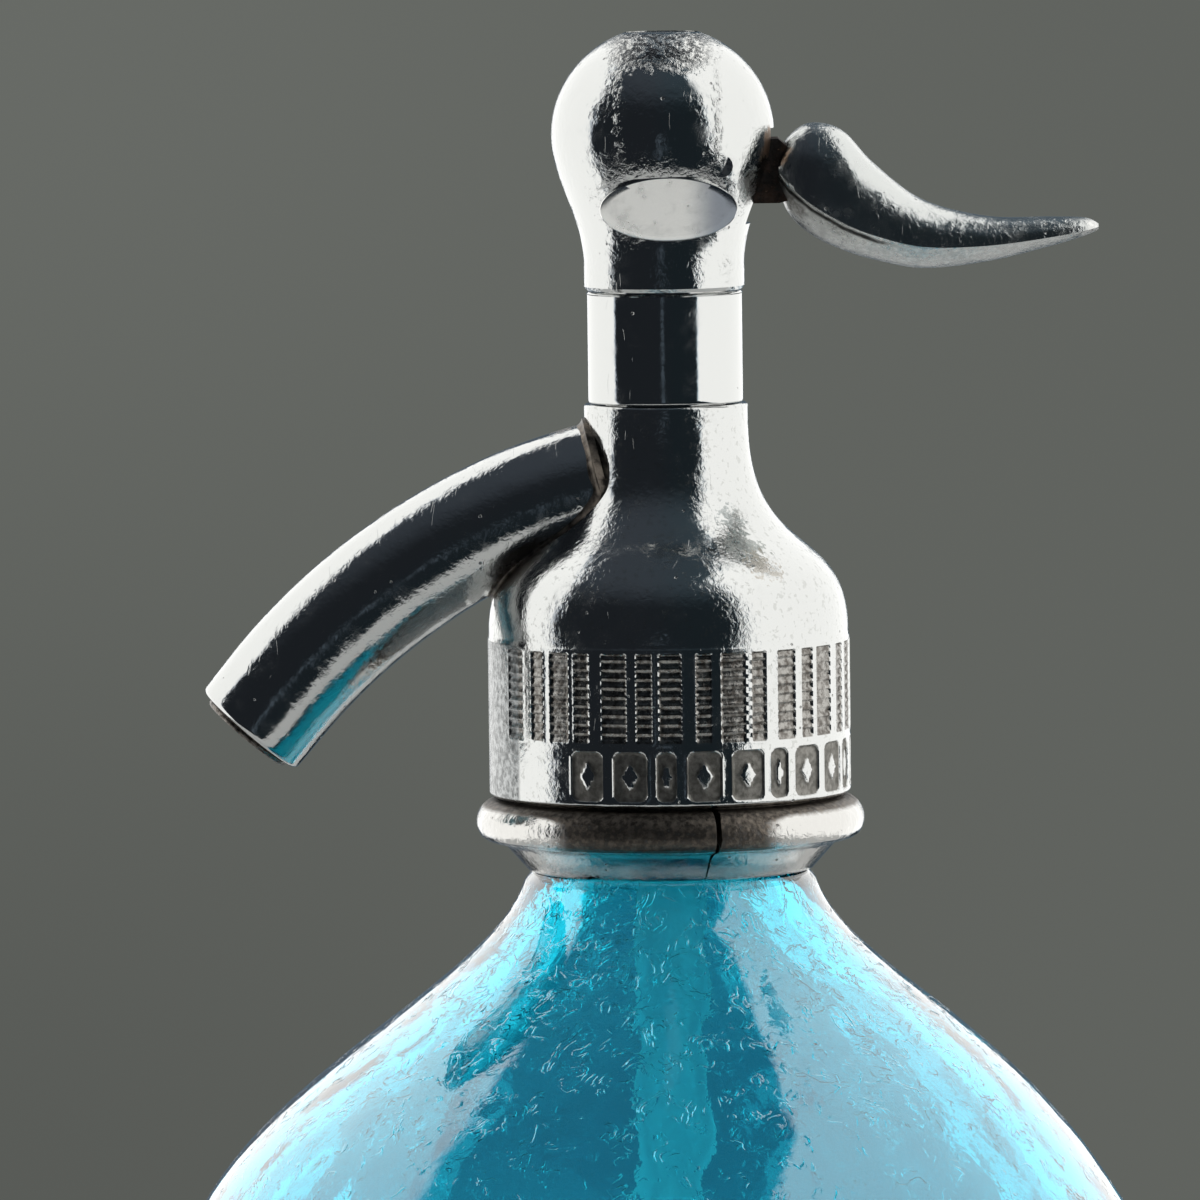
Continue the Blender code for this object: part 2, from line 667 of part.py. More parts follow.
def make_valve_barrel(collection):
    """Sleeve between head and ball, with a spigot at each end and a floor under the packing."""
    hole = SPINDLE_RADIUS + SPINDLE_RUNNING_GAP
    floor = barrel_bottom + BARREL_FLOOR
    spigot_top = barrel_top + UPPER_SPIGOT
    outline = [(BARREL_BORE_RADIUS, spigot_top), (spigot_radius, spigot_top),
               (spigot_radius, barrel_top), (barrel_radius, barrel_top),
               (barrel_radius, barrel_base), (spigot_radius, barrel_base),
               (spigot_radius, barrel_bottom), (hole, barrel_bottom), (hole, floor),
               (BARREL_BORE_RADIUS, floor)]
    return turned("valve_barrel", outline, HEAD_STEPS, pewter("barrel_metal"), collection)


def make_gland(collection):
    """Packing and the nut that presses it round the spindle."""
    hole = SPINDLE_RADIUS + SEAT_GAP
    outer = BARREL_BORE_RADIUS - SEAT_GAP
    ring("gland_packing", hole, outer, packing_base, packing_base + PACKING_HEIGHT,
         rubber("packing_rubber"), collection)
    ring("gland_nut", hole, outer, gland_base, gland_top, brass("gland_brass"), collection)


def make_spring_washer(collection):
    """Washer under the return spring."""
    ring("spring_washer", SPINDLE_RADIUS + SEAT_GAP, BARREL_BORE_RADIUS - SPINDLE_RUNNING_GAP,
         washer_base, washer_base + SPRING_WASHER_HEIGHT, steel("washer_steel"), collection)


def make_return_spring(collection):
    """Coil spring round the spindle: a helix of steady pitch."""
    low = spring_base + SPRING_WIRE_RADIUS
    high = spring_top - SPRING_WIRE_RADIUS
    count = round(SPRING_TURNS * SPRING_POINTS_PER_TURN)
    path = []
    for index in range(count + 1):
        share = index / count
        angle = math.tau * SPRING_TURNS * share
        path.append((SPRING_COIL_RADIUS * math.cos(angle), SPRING_COIL_RADIUS * math.sin(angle),
                     low + (high - low) * share))
    spring = tube("return_spring", path, SPRING_WIRE_RADIUS, 1, collection)
    mesh_of_curve(spring, steel("spring_steel"), collection)


def make_flat_boss(cutters):
    """Oval boss across the housing whose two ends are the sloping spanner flats."""
    low = housing_base + FLAT_RISE - FLAT_HALF_HEIGHT
    mesh = bpy.data.meshes.new("flat_boss")
    model = bmesh.new()
    place = (Matrix.Translation((0.0, 0.0, low + FLAT_HALF_HEIGHT))
             @ Matrix.Diagonal((FLAT_HALF_WIDTH, 1.0, FLAT_HALF_HEIGHT, 1.0))
             @ Matrix.Rotation(math.radians(90), 4, "X"))
    bmesh.ops.create_cone(model, cap_ends=True, segments=28, radius1=1.0, radius2=1.0, depth=1.0,
                          matrix=place)
    for corner in model.verts:
        share = (corner.co.z - low) / (2 * FLAT_HALF_HEIGHT)
        reach = FLAT_BOTTOM_REACH + (FLAT_TOP_REACH - FLAT_BOTTOM_REACH) * share
        corner.co.y = math.copysign(reach, corner.co.y)
    model.to_mesh(mesh)
    model.free()
    return add_object("flat_boss", mesh, None, cutters)


def make_ball_housing(collection, cutters):
    """Ball that carries the lever: hollow for the fork, slotted to the right, drilled for the pin."""
    top_angle = math.degrees(math.asin((ball_top - ball_level) / BALL_RADIUS))
    outline = [(0.0, ball_top)] + arc((0.0, ball_level), BALL_RADIUS, top_angle, 0, 8)
    neck = (housing_neck_radius, housing_base + HOUSING_NECK_LAND)
    outline += bezier((BALL_RADIUS, ball_level), (BALL_RADIUS, ball_level - BALL_LOW_PULL),
                      (neck[0], neck[1] + HOUSING_NECK_PULL), neck, 9)[1:]
    outline += [(housing_neck_radius, housing_base), (0.0, housing_base)]
    housing = turned("ball_housing", outline, HEAD_STEPS, pewter("ball_metal"), collection,
                     closed=False)
    combine(housing, make_flat_boss(cutters), "UNION")
    plug_hole = PLUG_RADIUS + SEAT_GAP
    spindle_hole = SPINDLE_RADIUS + 2 * SPINDLE_RUNNING_GAP
    inside = [(0.0, ball_top + CUT_OVERRUN), (plug_hole, ball_top + CUT_OVERRUN),
              (plug_hole, cavity_top), (CAVITY_RADIUS, cavity_top),
              (CAVITY_RADIUS, cavity_floor), (spindle_hole, cavity_floor),
              (spindle_hole, socket_top), (socket_radius, socket_top),
              (socket_radius, housing_base - CUT_OVERRUN), (0.0, housing_base - CUT_OVERRUN)]
    hollow = turned("housing_hollow", inside, HEAD_STEPS, None, cutters, closed=False)
    combine(housing, hollow, "DIFFERENCE")
    half_slot = ARM_THICKNESS / 2 + SEAT_GAP
    slot = box("lever_slot", (0.0, -half_slot, pivot_level - SLOT_BELOW_PIVOT),
               (BALL_RADIUS + CUT_OVERRUN, half_slot, pivot_level + SLOT_ABOVE_PIVOT), None, cutters)
    combine(housing, slot, "DIFFERENCE")
    pin_hole = cylinder("pin_hole", PIN_RADIUS + SEAT_GAP, (PIVOT_OFFSET, -BALL_RADIUS, pivot_level),
                        (PIVOT_OFFSET, BALL_RADIUS, pivot_level), INNER_STEPS, None, cutters)
    return combine(housing, pin_hole, "DIFFERENCE")


def make_top_plug(collection, cutters):
    """Screw plug in the top of the ball, with a driver slot."""
    base = cavity_top + PLUG_STANDOFF
    top = ball_top - PLUG_SUNK
    plug = cylinder("top_plug", PLUG_RADIUS, (0.0, 0.0, base), (0.0, 0.0, top), HEAD_STEPS,
                    pewter("plug_metal"), collection)
    slot = box("plug_slot", (-PLUG_RADIUS - CUT_OVERRUN, -PLUG_SLOT_WIDTH / 2, top - PLUG_SLOT_DEPTH),
               (PLUG_RADIUS + CUT_OVERRUN, PLUG_SLOT_WIDTH / 2, top + CUT_OVERRUN), None, cutters)
    return combine(plug, slot, "DIFFERENCE")


def place_on_pivot(thing, pivot):
    """Hang a piece on the lever's pivot, so that its own axes turn about the pin."""
    thing.data.transform(Matrix.Translation((-PIVOT_OFFSET, 0.0, -pivot_level)))
    thing.parent = pivot


def make_pivot_pin(collection):
    """Riveted pin that the lever turns on, flush with the ball."""
    half = math.sqrt(BALL_RADIUS ** 2 - PIVOT_OFFSET ** 2 - PIVOT_DROP ** 2) - PIN_SUNK
    cylinder("lever_pivot_pin", PIN_RADIUS, (PIVOT_OFFSET, -half, pivot_level),
             (PIVOT_OFFSET, half, pivot_level), INNER_STEPS, steel("pin_steel"), collection)


def arm_outline():
    """Side view of the steel arm: fork tip, hub, neck through the slot, and the cast-in tang."""
    neck_start = PIVOT_OFFSET + HUB_RADIUS
    tang_start = lever_root + TANG_INSET
    tang_end = tang_start + TANG_LENGTH
    hub = (PIVOT_OFFSET, pivot_level)
    outline = arc((0.0, pivot_level), FORK_TIP_RADIUS, 270, 90, 8)
    outline += [(FORK_FLAT, pivot_level + FORK_TIP_RADIUS)]
    outline += arc(hub, HUB_RADIUS, 130, 70, 5)
    outline += [(neck_start, pivot_level + ARM_RISE), (lever_root, pivot_level + ARM_RISE),
                (tang_start, pivot_level + TANG_START_RISE), (tang_end, pivot_level + TANG_END_RISE),
                (tang_end, pivot_level - TANG_END_DROP), (tang_start, pivot_level - TANG_START_DROP),
                (lever_root, pivot_level - ARM_DROP), (neck_start, pivot_level - ARM_DROP)]
    outline += arc(hub, HUB_RADIUS, -70, -130, 5)
    outline += [(FORK_FLAT, pivot_level - FORK_TIP_RADIUS)]
    return outline


def flat_plate(name, outline, thickness, material, collection):
    """A plate cut to an outline of (x, z) points, centred on the plane y = 0."""
    curve = bpy.data.curves.new(name, "CURVE")
    curve.dimensions = "2D"
    curve.fill_mode = "BOTH"
    curve.extrude = thickness / 2
    spline = curve.splines.new("POLY")
    spline.points.add(len(outline) - 1)
    for index, (along, height) in enumerate(outline):
        spline.points[index].co = (along, height, 0.0, 1.0)
    spline.use_cyclic_u = True
    thing = bpy.data.objects.new(name, curve)
    collection.objects.link(thing)
    plate = mesh_of_curve(thing, material, collection)
    plate.data.transform(Matrix.Rotation(math.radians(90), 4, "X"))
    return plate


def make_lever_arm(collection, cutters, pivot):
    """Steel arm, forked round the spindle and drilled for the pin."""
    arm = flat_plate("lever_arm", arm_outline(), ARM_THICKNESS, rusty_steel("arm_steel"), collection)
    half_fork = SPINDLE_RADIUS + FORK_CLEARANCE
    fork = box("fork_slot", (-FORK_TIP_RADIUS - CUT_OVERRUN, -half_fork, pivot_level - HUB_RADIUS),
               (FORK_DEPTH, half_fork, pivot_level + HUB_RADIUS), None, cutters)
    hole = cylinder("arm_hole", PIN_RADIUS + SEAT_GAP,
                    (PIVOT_OFFSET, -ARM_THICKNESS, pivot_level),
                    (PIVOT_OFFSET, ARM_THICKNESS, pivot_level), INNER_STEPS, None, cutters)
    for cutter in (fork, hole):
        place_on_pivot(cutter, pivot)
        combine(arm, cutter, "DIFFERENCE")
    place_on_pivot(arm, pivot)
    return arm


def smooth_rows(rows, between):
    """Rows of shares with more rows worked in between them on a smooth curve."""
    smooth = []
    for index in range(len(rows) - 1):
        around = [rows[max(index - 1, 0)], rows[index], rows[index + 1],
                  rows[min(index + 2, len(rows) - 1)]]
        for step in range(between + 1):
            t = step / (between + 1)
            smooth.append(tuple(blend_four(values, t) for values in zip(*around)))
    return smooth + [rows[-1]]


def blend_four(values, t):
    """The value between the middle two of four, on a curve through them all."""
    before, low, high, after = values
    return low + 0.5 * t * (high - before + t * (2 * before - 5 * low + 4 * high - after
                                                 + t * (3 * (low - high) + after - before)))


def lever_section(row):
    """One section of the handle: rounded over the top, and a shallow belly below the chine."""
    along, top, chine, belly, width = row
    x = lever_root + along * LEVER_LENGTH
    base = pivot_level - LEVER_LOW_POINT
    top, chine, belly = (base + share * LEVER_DEPTH for share in (top, chine, belly))
    half = width * LEVER_HALF_WIDTH
    points = []
    for index in range(LEVER_SECTION_STEPS):
        angle = math.pi * index / LEVER_SECTION_STEPS
        side = math.copysign(abs(math.cos(angle)) ** LEVER_SIDE_FULLNESS_SHARE, math.cos(angle))
        rise = math.sin(angle) ** LEVER_TOP_FULLNESS_SHARE
        points.append((x, half * side, chine + (top - chine) * rise))
    for index in range(LEVER_SECTION_STEPS):
        side = -1 + 2 * index / LEVER_SECTION_STEPS
        fall = 1 - abs(side) ** LEVER_BELLY_POWER_SHARE
        points.append((x, half * side, chine - (chine - belly) * fall))
    return points


def make_lever_handle(collection, cutters, pivot):
    """Cast thumb lever: a horn shape lofted through its rows, pocketed for the arm's tang."""
    sections = [lever_section(row) for row in smooth_rows(LEVER_ROW_SHARES, LEVER_BETWEEN_STEPS)]
    mesh = bpy.data.meshes.new("lever_handle")
    model = bmesh.new()
    loops = [[model.verts.new(point) for point in section] for section in sections]
    for near, far in zip(loops, loops[1:]):
        for index in range(len(near)):
            following = (index + 1) % len(near)
            model.faces.new((near[index], near[following], far[following], far[index]))
    model.faces.new(loops[0][::-1])
    model.faces.new(loops[-1])
    bmesh.ops.recalc_face_normals(model, faces=model.faces)
    model.to_mesh(mesh)
    model.free()
    handle = add_object("lever_handle", mesh, pewter("lever_metal"), collection)
    tang_start = lever_root + TANG_INSET
    tang_end = tang_start + TANG_LENGTH
    outline = [(lever_root - CUT_OVERRUN, pivot_level + ARM_RISE + SEAT_GAP),
               (lever_root + SEAT_GAP, pivot_level + ARM_RISE + SEAT_GAP),
               (tang_start + SEAT_GAP, pivot_level + TANG_START_RISE + SEAT_GAP),
               (tang_end + SEAT_GAP, pivot_level + TANG_END_RISE + SEAT_GAP),
               (tang_end + SEAT_GAP, pivot_level - TANG_END_DROP - SEAT_GAP),
               (tang_start, pivot_level - TANG_START_DROP - SEAT_GAP),
               (lever_root, pivot_level - ARM_DROP - SEAT_GAP),
               (lever_root - CUT_OVERRUN, pivot_level - ARM_DROP - SEAT_GAP)]
    pocket = flat_plate("tang_pocket", outline, ARM_THICKNESS + 2 * SEAT_GAP, None, cutters)
    combine(handle, pocket, "DIFFERENCE")
    place_on_pivot(pocket, pivot)
    place_on_pivot(handle, pivot)
    return handle


def make_tube_set(collection):
    """Dip tube with its grommet, flanged holder and the gasket on the bottle's mouth."""
    tube_top = flange_top - TUBE_HEAD_SUNK
    tube_foot = PUSH_UP + BASE_THICKNESS + TUBE_FOOT_CLEARANCE
    ring("dip_tube", TUBE_BORE_RADIUS, tube_radius, tube_foot, tube_top,
         clear_glass("tube_glass"), collection)
    grommet_inside = tube_radius + SEAT_GAP
    grommet_outside = grommet_inside + GROMMET_WALL
    shelf = flange_top - HOLDER_SHELF
    ring("tube_grommet", grommet_inside, grommet_outside, shelf - SEAT_GAP - GROMMET_LENGTH,
         shelf - SEAT_GAP, rubber("grommet_rubber"), collection)
    sleeve = NECK_BORE_RADIUS - SEAT_GAP
    bore = grommet_outside + SEAT_GAP
    outline = [(grommet_inside, flange_top), (HOLDER_FLANGE_RADIUS, flange_top),
               (HOLDER_FLANGE_RADIUS, flange_base), (sleeve, flange_base),
               (sleeve, flange_base - HOLDER_SLEEVE), (bore, flange_base - HOLDER_SLEEVE),
               (bore, shelf), (grommet_inside, shelf)]
    turned("tube_holder", outline, INNER_STEPS, pewter("holder_metal"), collection)
    ring("mouth_gasket", GASKET_HOLE_RADIUS, lip_radius - SEAT_GAP, gasket_base, gasket_top,
         rubber("gasket_rubber"), collection)


def shade_round(collection):
    """Shade the round pieces smooth, with their edges kept sharp."""
    for thing in collection.objects:
        if thing.type == "MESH":
            thing.data.shade_smooth()
            if thing.data.polygons:
                thing.data.set_sharp_from_angle(angle=math.radians(35))


def build_siphon():
    """Make every piece, from the bottle up to the lever."""
    clear_scene()
    collection = new_collection("soda_siphon")
    cutters = new_collection("cutters")
    pivot = bpy.data.objects.new("lever_pivot", None)
    pivot.location = (PIVOT_OFFSET, 0.0, pivot_level)
    collection.objects.link(pivot)
    make_bottle(collection)
    make_tube_set(collection)
    make_collar_half("collar_half_left", 1, collection, cutters)
    make_collar_half("collar_half_right", -1, collection, cutters)
    make_head_body(collection, cutters)
    make_spout(collection, cutters)
    make_valve_seat(collection)
    make_valve_seal(collection)
    make_seal_cup(collection)
    make_spindle(collection)
    make_lifting_nut(collection, cutters)
    make_valve_barrel(collection)
    make_gland(collection)
    make_spring_washer(collection)
    make_return_spring(collection)
    make_ball_housing(collection, cutters)
    make_top_plug(collection, cutters)
    make_pivot_pin(collection)
    make_lever_arm(collection, cutters, pivot)
    make_lever_handle(collection, cutters, pivot)
    shade_round(collection)


build_siphon()
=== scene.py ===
"""Soda siphon: a turquoise glass bottle under a cast head with a bent spout and a thumb lever.

The sections follow the siphon as it is put together, from the bottle up to the lever, and end
with the studio and the camera. Lengths are in metres.
"""

import bmesh
import bpy
import numpy as np
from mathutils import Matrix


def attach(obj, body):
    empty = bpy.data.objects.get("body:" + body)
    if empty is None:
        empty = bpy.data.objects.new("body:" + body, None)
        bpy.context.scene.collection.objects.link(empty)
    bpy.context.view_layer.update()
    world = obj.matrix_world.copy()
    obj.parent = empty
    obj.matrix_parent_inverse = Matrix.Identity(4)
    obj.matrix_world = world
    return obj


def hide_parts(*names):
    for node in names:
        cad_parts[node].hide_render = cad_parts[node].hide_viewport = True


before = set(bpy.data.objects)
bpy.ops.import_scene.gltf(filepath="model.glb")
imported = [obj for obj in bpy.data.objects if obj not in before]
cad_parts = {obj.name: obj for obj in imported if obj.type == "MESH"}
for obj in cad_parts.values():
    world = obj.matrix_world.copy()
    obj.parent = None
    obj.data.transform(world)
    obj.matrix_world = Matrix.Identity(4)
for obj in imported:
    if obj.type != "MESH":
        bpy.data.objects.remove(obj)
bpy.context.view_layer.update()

# Bottle: one blown piece of thick turquoise glass, pressed all over with small hammer marks.
# It stands on a ring round its shallow push-up, and carries a plain lip that the collar grips. Its
# shoulder was blown a little off the axis, towards the spout.
neck_level = 0.204
glass_radius = 0.0575
mouth_radius, lip_radius, throat_radius = 0.0115, 0.0168, 0.0142
lip_foot, lip_level, lip_round = 0.2140, 0.2213, 0.0012
floor_level, gutter_level, floor_edge, floor_round = 0.012, 0.009, 0.045, 0.007
ring_inner, ring_outer, foot_round = 0.0445, 0.0485, 0.009
push_up = 0.003
merge_distance = 0.0000005
glass_colour = (0.02, 0.896, 0.960, 1.0)
glass_density = 350.0


def line(start, end, steps):
    """Straight run: the two end points mixed by a share that grows evenly from 0 to 1."""
    return np.linspace(start, end, steps + 1)


def curve(start, start_pull, end_pull, end, steps):
    """Cubic Bezier curve: four corner points weighted by the cubic Bernstein terms of t."""
    t = np.linspace(0.0, 1.0, steps + 1)[:, None]
    corners = np.array((start, start_pull, end_pull, end))
    return ((1 - t) ** 3 * corners[0] + 3 * t * (1 - t) ** 2 * corners[1]
            + 3 * t * t * (1 - t) * corners[2] + t ** 3 * corners[3])


def arc(centre, radius, first, last, steps):
    """Circular arc: the centre plus the radius times (cos, sin) of an angle given in degrees."""
    angle = np.radians(np.linspace(first, last, steps + 1))
    return np.stack((centre[0] + radius * np.cos(angle), centre[1] + radius * np.sin(angle)), 1)


def join(*runs):
    """Runs of an outline put end to end, with points that repeat the one before left out."""
    outline = np.concatenate([np.atleast_2d(run) for run in runs])
    step = np.linalg.norm(np.diff(outline, axis=0), axis=1)
    return outline[np.concatenate(([True], step > 0.000002))]


def solid(name, points, faces, sharp=35.0):
    """Closed mesh of quads from arrays, doubles merged at the poles, smooth up to an angle."""
    mesh = bpy.data.meshes.new(name)
    mesh.from_pydata(points.tolist(), [], faces.tolist())
    model = bmesh.new()
    model.from_mesh(mesh)
    bmesh.ops.remove_doubles(model, verts=model.verts, dist=merge_distance)
    model.to_mesh(mesh)
    model.free()
    mesh.shade_smooth()
    mesh.set_sharp_from_angle(angle=np.radians(sharp))
    piece = bpy.data.objects.new(name, mesh)
    bpy.context.scene.collection.objects.link(piece)
    return piece


def grid_faces(rows, columns, rows_meet, columns_meet):
    """Quads between neighbours of a grid of points, wrapped round where its edges meet."""
    index = np.arange(rows * columns).reshape(rows, columns)
    if rows_meet:
        index = np.concatenate((index, index[:1]))
    if columns_meet:
        index = np.concatenate((index, index[:, :1]), 1)
    corners = (index[:-1, :-1], index[1:, :-1], index[1:, 1:], index[:-1, 1:])
    return np.stack(corners, 2).reshape(-1, 4)


def turned(name, outline, angles, closed=True, relief=None, sharp=35.0):
    """Surface of revolution: outline point (r, h) at angle a lies at (r cos a, r sin a, h).
    The outline's outer side runs downwards. The relief is added to r at each row and angle."""
    radius = np.repeat(outline[:, :1], len(angles), 1)
    height = np.repeat(outline[:, 1:], len(angles), 1)
    if relief is not None:
        radius = radius + relief(radius, height, angles)
    points = np.stack((radius * np.cos(angles), radius * np.sin(angles), height), 2)
    faces = grid_faces(len(outline), len(angles), closed, True)
    return solid(name, points.reshape(-1, 3), faces, sharp)


def round_about(count):
    """Evenly spaced angles of one whole turn."""
    return np.linspace(0.0, 2 * np.pi, count, endpoint=False)


def node(tree, kind, inputs, output=0, **settings):
    """Add a shader node, set or link its inputs by name or number, and return one output."""
    made = tree.nodes.new("ShaderNode" + kind)
    for name, value in settings.items():
        setattr(made, name, value)
    for name, value in inputs.items():
        if isinstance(value, bpy.types.NodeSocket):
            tree.links.new(value, made.inputs[name])
        else:
            made.inputs[name].default_value = value
    return made.outputs[output]


def noise(tree, place, scale, detail=2.0, roughness=0.5, distortion=0.0):
    """Cloudy value from 0 to 1 with features about 1 / scale metres across."""
    return node(tree, "TexNoise", {"Vector": place, "Scale": scale, "Detail": detail,
                                   "Roughness": roughness, "Distortion": distortion})


def ramp(tree, value, low, high, to_low=0.0, to_high=1.0):
    """Smooth step of a value between two levels."""
    return node(tree, "MapRange", {"Value": value, "From Min": low, "From Max": high,
                                   "To Min": to_low, "To Max": to_high},
                interpolation_type="SMOOTHSTEP")


def sums(tree, operation, first, second):
    """Two values put together by a Math node."""
    return node(tree, "Math", {0: first, 1: second}, operation=operation)


def blend(tree, share, first, second):
    """Colour mixed from two by a share."""
    return node(tree, "Mix", {0: share, 6: first, 7: second}, output=2, data_type="RGBA")


def new_finish(name, inputs):
    """Material with its Principled shader set, its node tree and the object's own coordinates."""
    material = bpy.data.materials.new(name)
    material.use_nodes = True
    tree = material.node_tree
    for socket, value in inputs.items():
        tree.nodes["Principled BSDF"].inputs[socket].default_value = value
    return material, tree, node(tree, "TexCoord", {}, "Object")


def feed(tree, **values):
    """Link outputs into the Principled shader's sockets, named with _ for a space."""
    shader = tree.nodes["Principled BSDF"]
    for name, value in values.items():
        tree.links.new(value, shader.inputs[name.replace("_", " ")])


def fit(piece, body, material, slot, *nodes):
    """Give a finished piece its material and its body, and hide the CAD nodes it stands for. The slot is
    not used.
    """
    piece.data.materials.append(material)
    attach(piece, body)
    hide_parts(*nodes)


def mark(piece, name, values):
    """Store one number per vertex under a name that the material reads."""
    layer = piece.data.attributes.new(name, "FLOAT", "POINT")
    layer.data.foreach_set("value", np.asarray(values, np.float32))


def places(piece):
    """Array of a piece's vertices."""
    flat = np.empty(len(piece.data.vertices) * 3, np.float32)
    piece.data.vertices.foreach_get("co", flat)
    return flat.reshape(-1, 3).astype(float)


def hammer_marks(radius, height, angles):
    """Sum of 28 plane waves 5 to 11 mm long that cross the glass in seeded directions. It is about
    0.02 mm deep outside, where it is also sunk by 0.06 mm so that the glass keeps to its width, and
    five times deeper on the inner wall. It fades at neck and foot."""
    count = 28
    seed = np.random.default_rng(11)
    heading = seed.normal(size=(count, 3))
    heading /= np.linalg.norm(heading, axis=1)[:, None]
    pitch = seed.uniform(0.005, 0.011, count)
    phase = seed.uniform(0, 2 * np.pi, count)
    points = np.stack((radius * np.cos(angles), radius * np.sin(angles), height), 2)
    waves = np.sin(points @ (heading * 2 * np.pi / pitch[:, None]).T + phase).sum(2) / count ** 0.5
    inner = (np.arange(len(height)) < inner_rows)[:, None]
    fade = np.clip((neck_level - height) / 0.006, 0, 1) * np.clip((height - 0.006) / 0.012, 0, 1)
    return fade * np.where(inner, waves * 0.00010, waves * 0.00002 - 0.00006)


shoulder_top = (0.0164, neck_level + 0.0005)
shoulder_foot = (glass_radius, neck_level - 0.0573)
lean = np.radians(17.5)
top_pull, foot_pull = 0.0141, 0.0338
shoulder_pulls = ((shoulder_top[0] + top_pull * np.sin(lean), shoulder_top[1] - top_pull * np.cos(lean)),
                  (glass_radius, shoulder_foot[1] + foot_pull))
outer_shoulder = curve(shoulder_top, *shoulder_pulls, shoulder_foot, 84)
slope = np.gradient(outer_shoulder, axis=0)
slope /= np.linalg.norm(slope, axis=1)[:, None]
wall = np.linspace(0.0049, 0.0055, len(outer_shoulder))[:, None]
inner_shoulder = (outer_shoulder + np.stack((slope[:, 1], -slope[:, 0]), 1) * wall)[::-2]
inside = join(
    curve((0, floor_level), (0.026, floor_level), (0.038, gutter_level), (floor_edge, gutter_level), 14),
    arc((floor_edge, gutter_level + floor_round), floor_round, -90, 0, 8),
    line((floor_edge + floor_round, gutter_level + floor_round), inner_shoulder[0], 34),
    inner_shoulder, line((mouth_radius, shoulder_top[1]), (mouth_radius, lip_level), 6))
inner_rows = len(inside)
bottle_outline = join(
    inside, arc((mouth_radius + lip_round, lip_level), lip_round, 180, 90, 5),
    arc((lip_radius - lip_round, lip_level), lip_round, 90, 0, 5),
    line((lip_radius, lip_foot), (throat_radius, lip_foot), 2),
    line((throat_radius, lip_foot), (throat_radius, 0.2076), 4),
    curve((throat_radius, 0.2076), (throat_radius, 0.2064), (0.0158, 0.2056), shoulder_top, 8),
    outer_shoulder, line(shoulder_foot, (glass_radius, foot_round), 96),
    arc((ring_outer, foot_round), foot_round, 0, -90, 9), line((ring_outer, 0), (ring_inner, 0), 3),
    curve((ring_inner, 0), (0.0415, push_up), (0.022, push_up), (0, push_up), 14))
bottle = turned("bottle_glass_body", bottle_outline, round_about(256), False, hammer_marks)
shoulder_shift, neck_shift = 0.0013, 0.00025
spot = places(bottle)
sunk = np.clip((0.190 - spot[:, 2]) / 0.020, 0, 1)
risen = np.clip((spot[:, 2] - 0.156) / 0.012, 0, 1)
shift = shoulder_shift * sunk * sunk * (3 - 2 * sunk) + neck_shift * np.minimum(sunk * 4 + 0.5, 1)
spot[:, 0] -= shift * risen
bottle.data.vertices.foreach_set("co", spot.ravel())
bottle.data.update()

glass, tree, place = new_finish("hammered_turquoise_glass", {
    "Base Color": (0.96, 0.99, 1.0, 1), "Roughness": 0.02, "IOR": 1.5, "Transmission Weight": 1.0,
    "Coat Weight": 1.0, "Coat IOR": 1.8, "Coat Roughness": 0.03})
near_neck = ramp(tree, node(tree, "SeparateXYZ", {"Vector": place}, "Z"), 0.165, 0.200)
veins = noise(tree, place, 330, 2.0, 0.5, 1.2)
veins = ramp(tree, sums(tree, "ABSOLUTE", sums(tree, "SUBTRACT", veins, 0.5), 0.0), 0.045, 0.0)
shifted = node(tree, "Mapping", {"Vector": place, "Location": (0.3, 0.1, 0.2)})
broken = noise(tree, shifted, 380, 2.0, 0.5)
broken = node(tree, "MapRange", {"Value": broken, "From Max": 0.66, "From Min": sums(
    tree, "SUBTRACT", 0.55, sums(tree, "MULTIPLY", near_neck, 0.12))}, interpolation_type="SMOOTHSTEP")
peel = noise(tree, place, 420, 3.0, 0.5, 0.3)
deep = ramp(tree, near_neck, 0.0, 1.0, 0.034, 0.055)
height = sums(tree, "MULTIPLY", sums(tree, "MULTIPLY", veins, broken), deep)
height = sums(tree, "ADD", height, sums(tree, "MULTIPLY", peel, 0.022))
bump = node(tree, "Bump", {"Height": height, "Strength": 1.0, "Distance": 0.001})
feed(tree, Normal=bump, Coat_Normal=bump)
soak = node(tree, "VolumeAbsorption", {"Color": glass_colour, "Density": glass_density})
tree.links.new(soak, tree.nodes["Material Output"].inputs["Volume"])
fit(bottle, "siphon", glass, "bottle_glass", "bottle")

# Dip tube: a drawn glass tube, clouded by scale from the water, that reaches nearly to the floor
# of the bottle. A rubber grommet holds it in the flanged holder that sits on the bottle's mouth,
# and the head presses a rubber gasket down on the holder.
tube_top, tube_foot = 0.2233, 0.01875
tube_inner, tube_outer = 0.0025, 0.004
tube_middle, tube_round = (tube_inner + tube_outer) / 2, (tube_outer - tube_inner) / 2
tube_outline = join(
    arc((tube_middle, tube_top), tube_round, 180, 0, 8),
    line((tube_outer, tube_top), (tube_outer, tube_foot), 60),
    arc((tube_middle, tube_foot), tube_round, 0, -180, 8),
    line((tube_inner, tube_foot), (tube_inner, tube_top), 60)[:-1])
dip_tube = turned("dip_tube_glass", tube_outline, round_about(64))
clouded, tree, place = new_finish("clouded_tube_glass", {
    "Base Color": (0.90, 0.97, 0.98, 1), "Roughness": 0.9, "IOR": 1.2, "Transmission Weight": 1.0})
scale_marks = noise(tree, node(tree, "Mapping", {"Vector": place, "Scale": (1, 1, 0.25)}), 260, 3.0, 0.6)
tube_tint = blend(tree, ramp(tree, scale_marks, 0.35, 0.65), (0.80, 0.93, 0.95, 1), (1, 1, 1, 1))
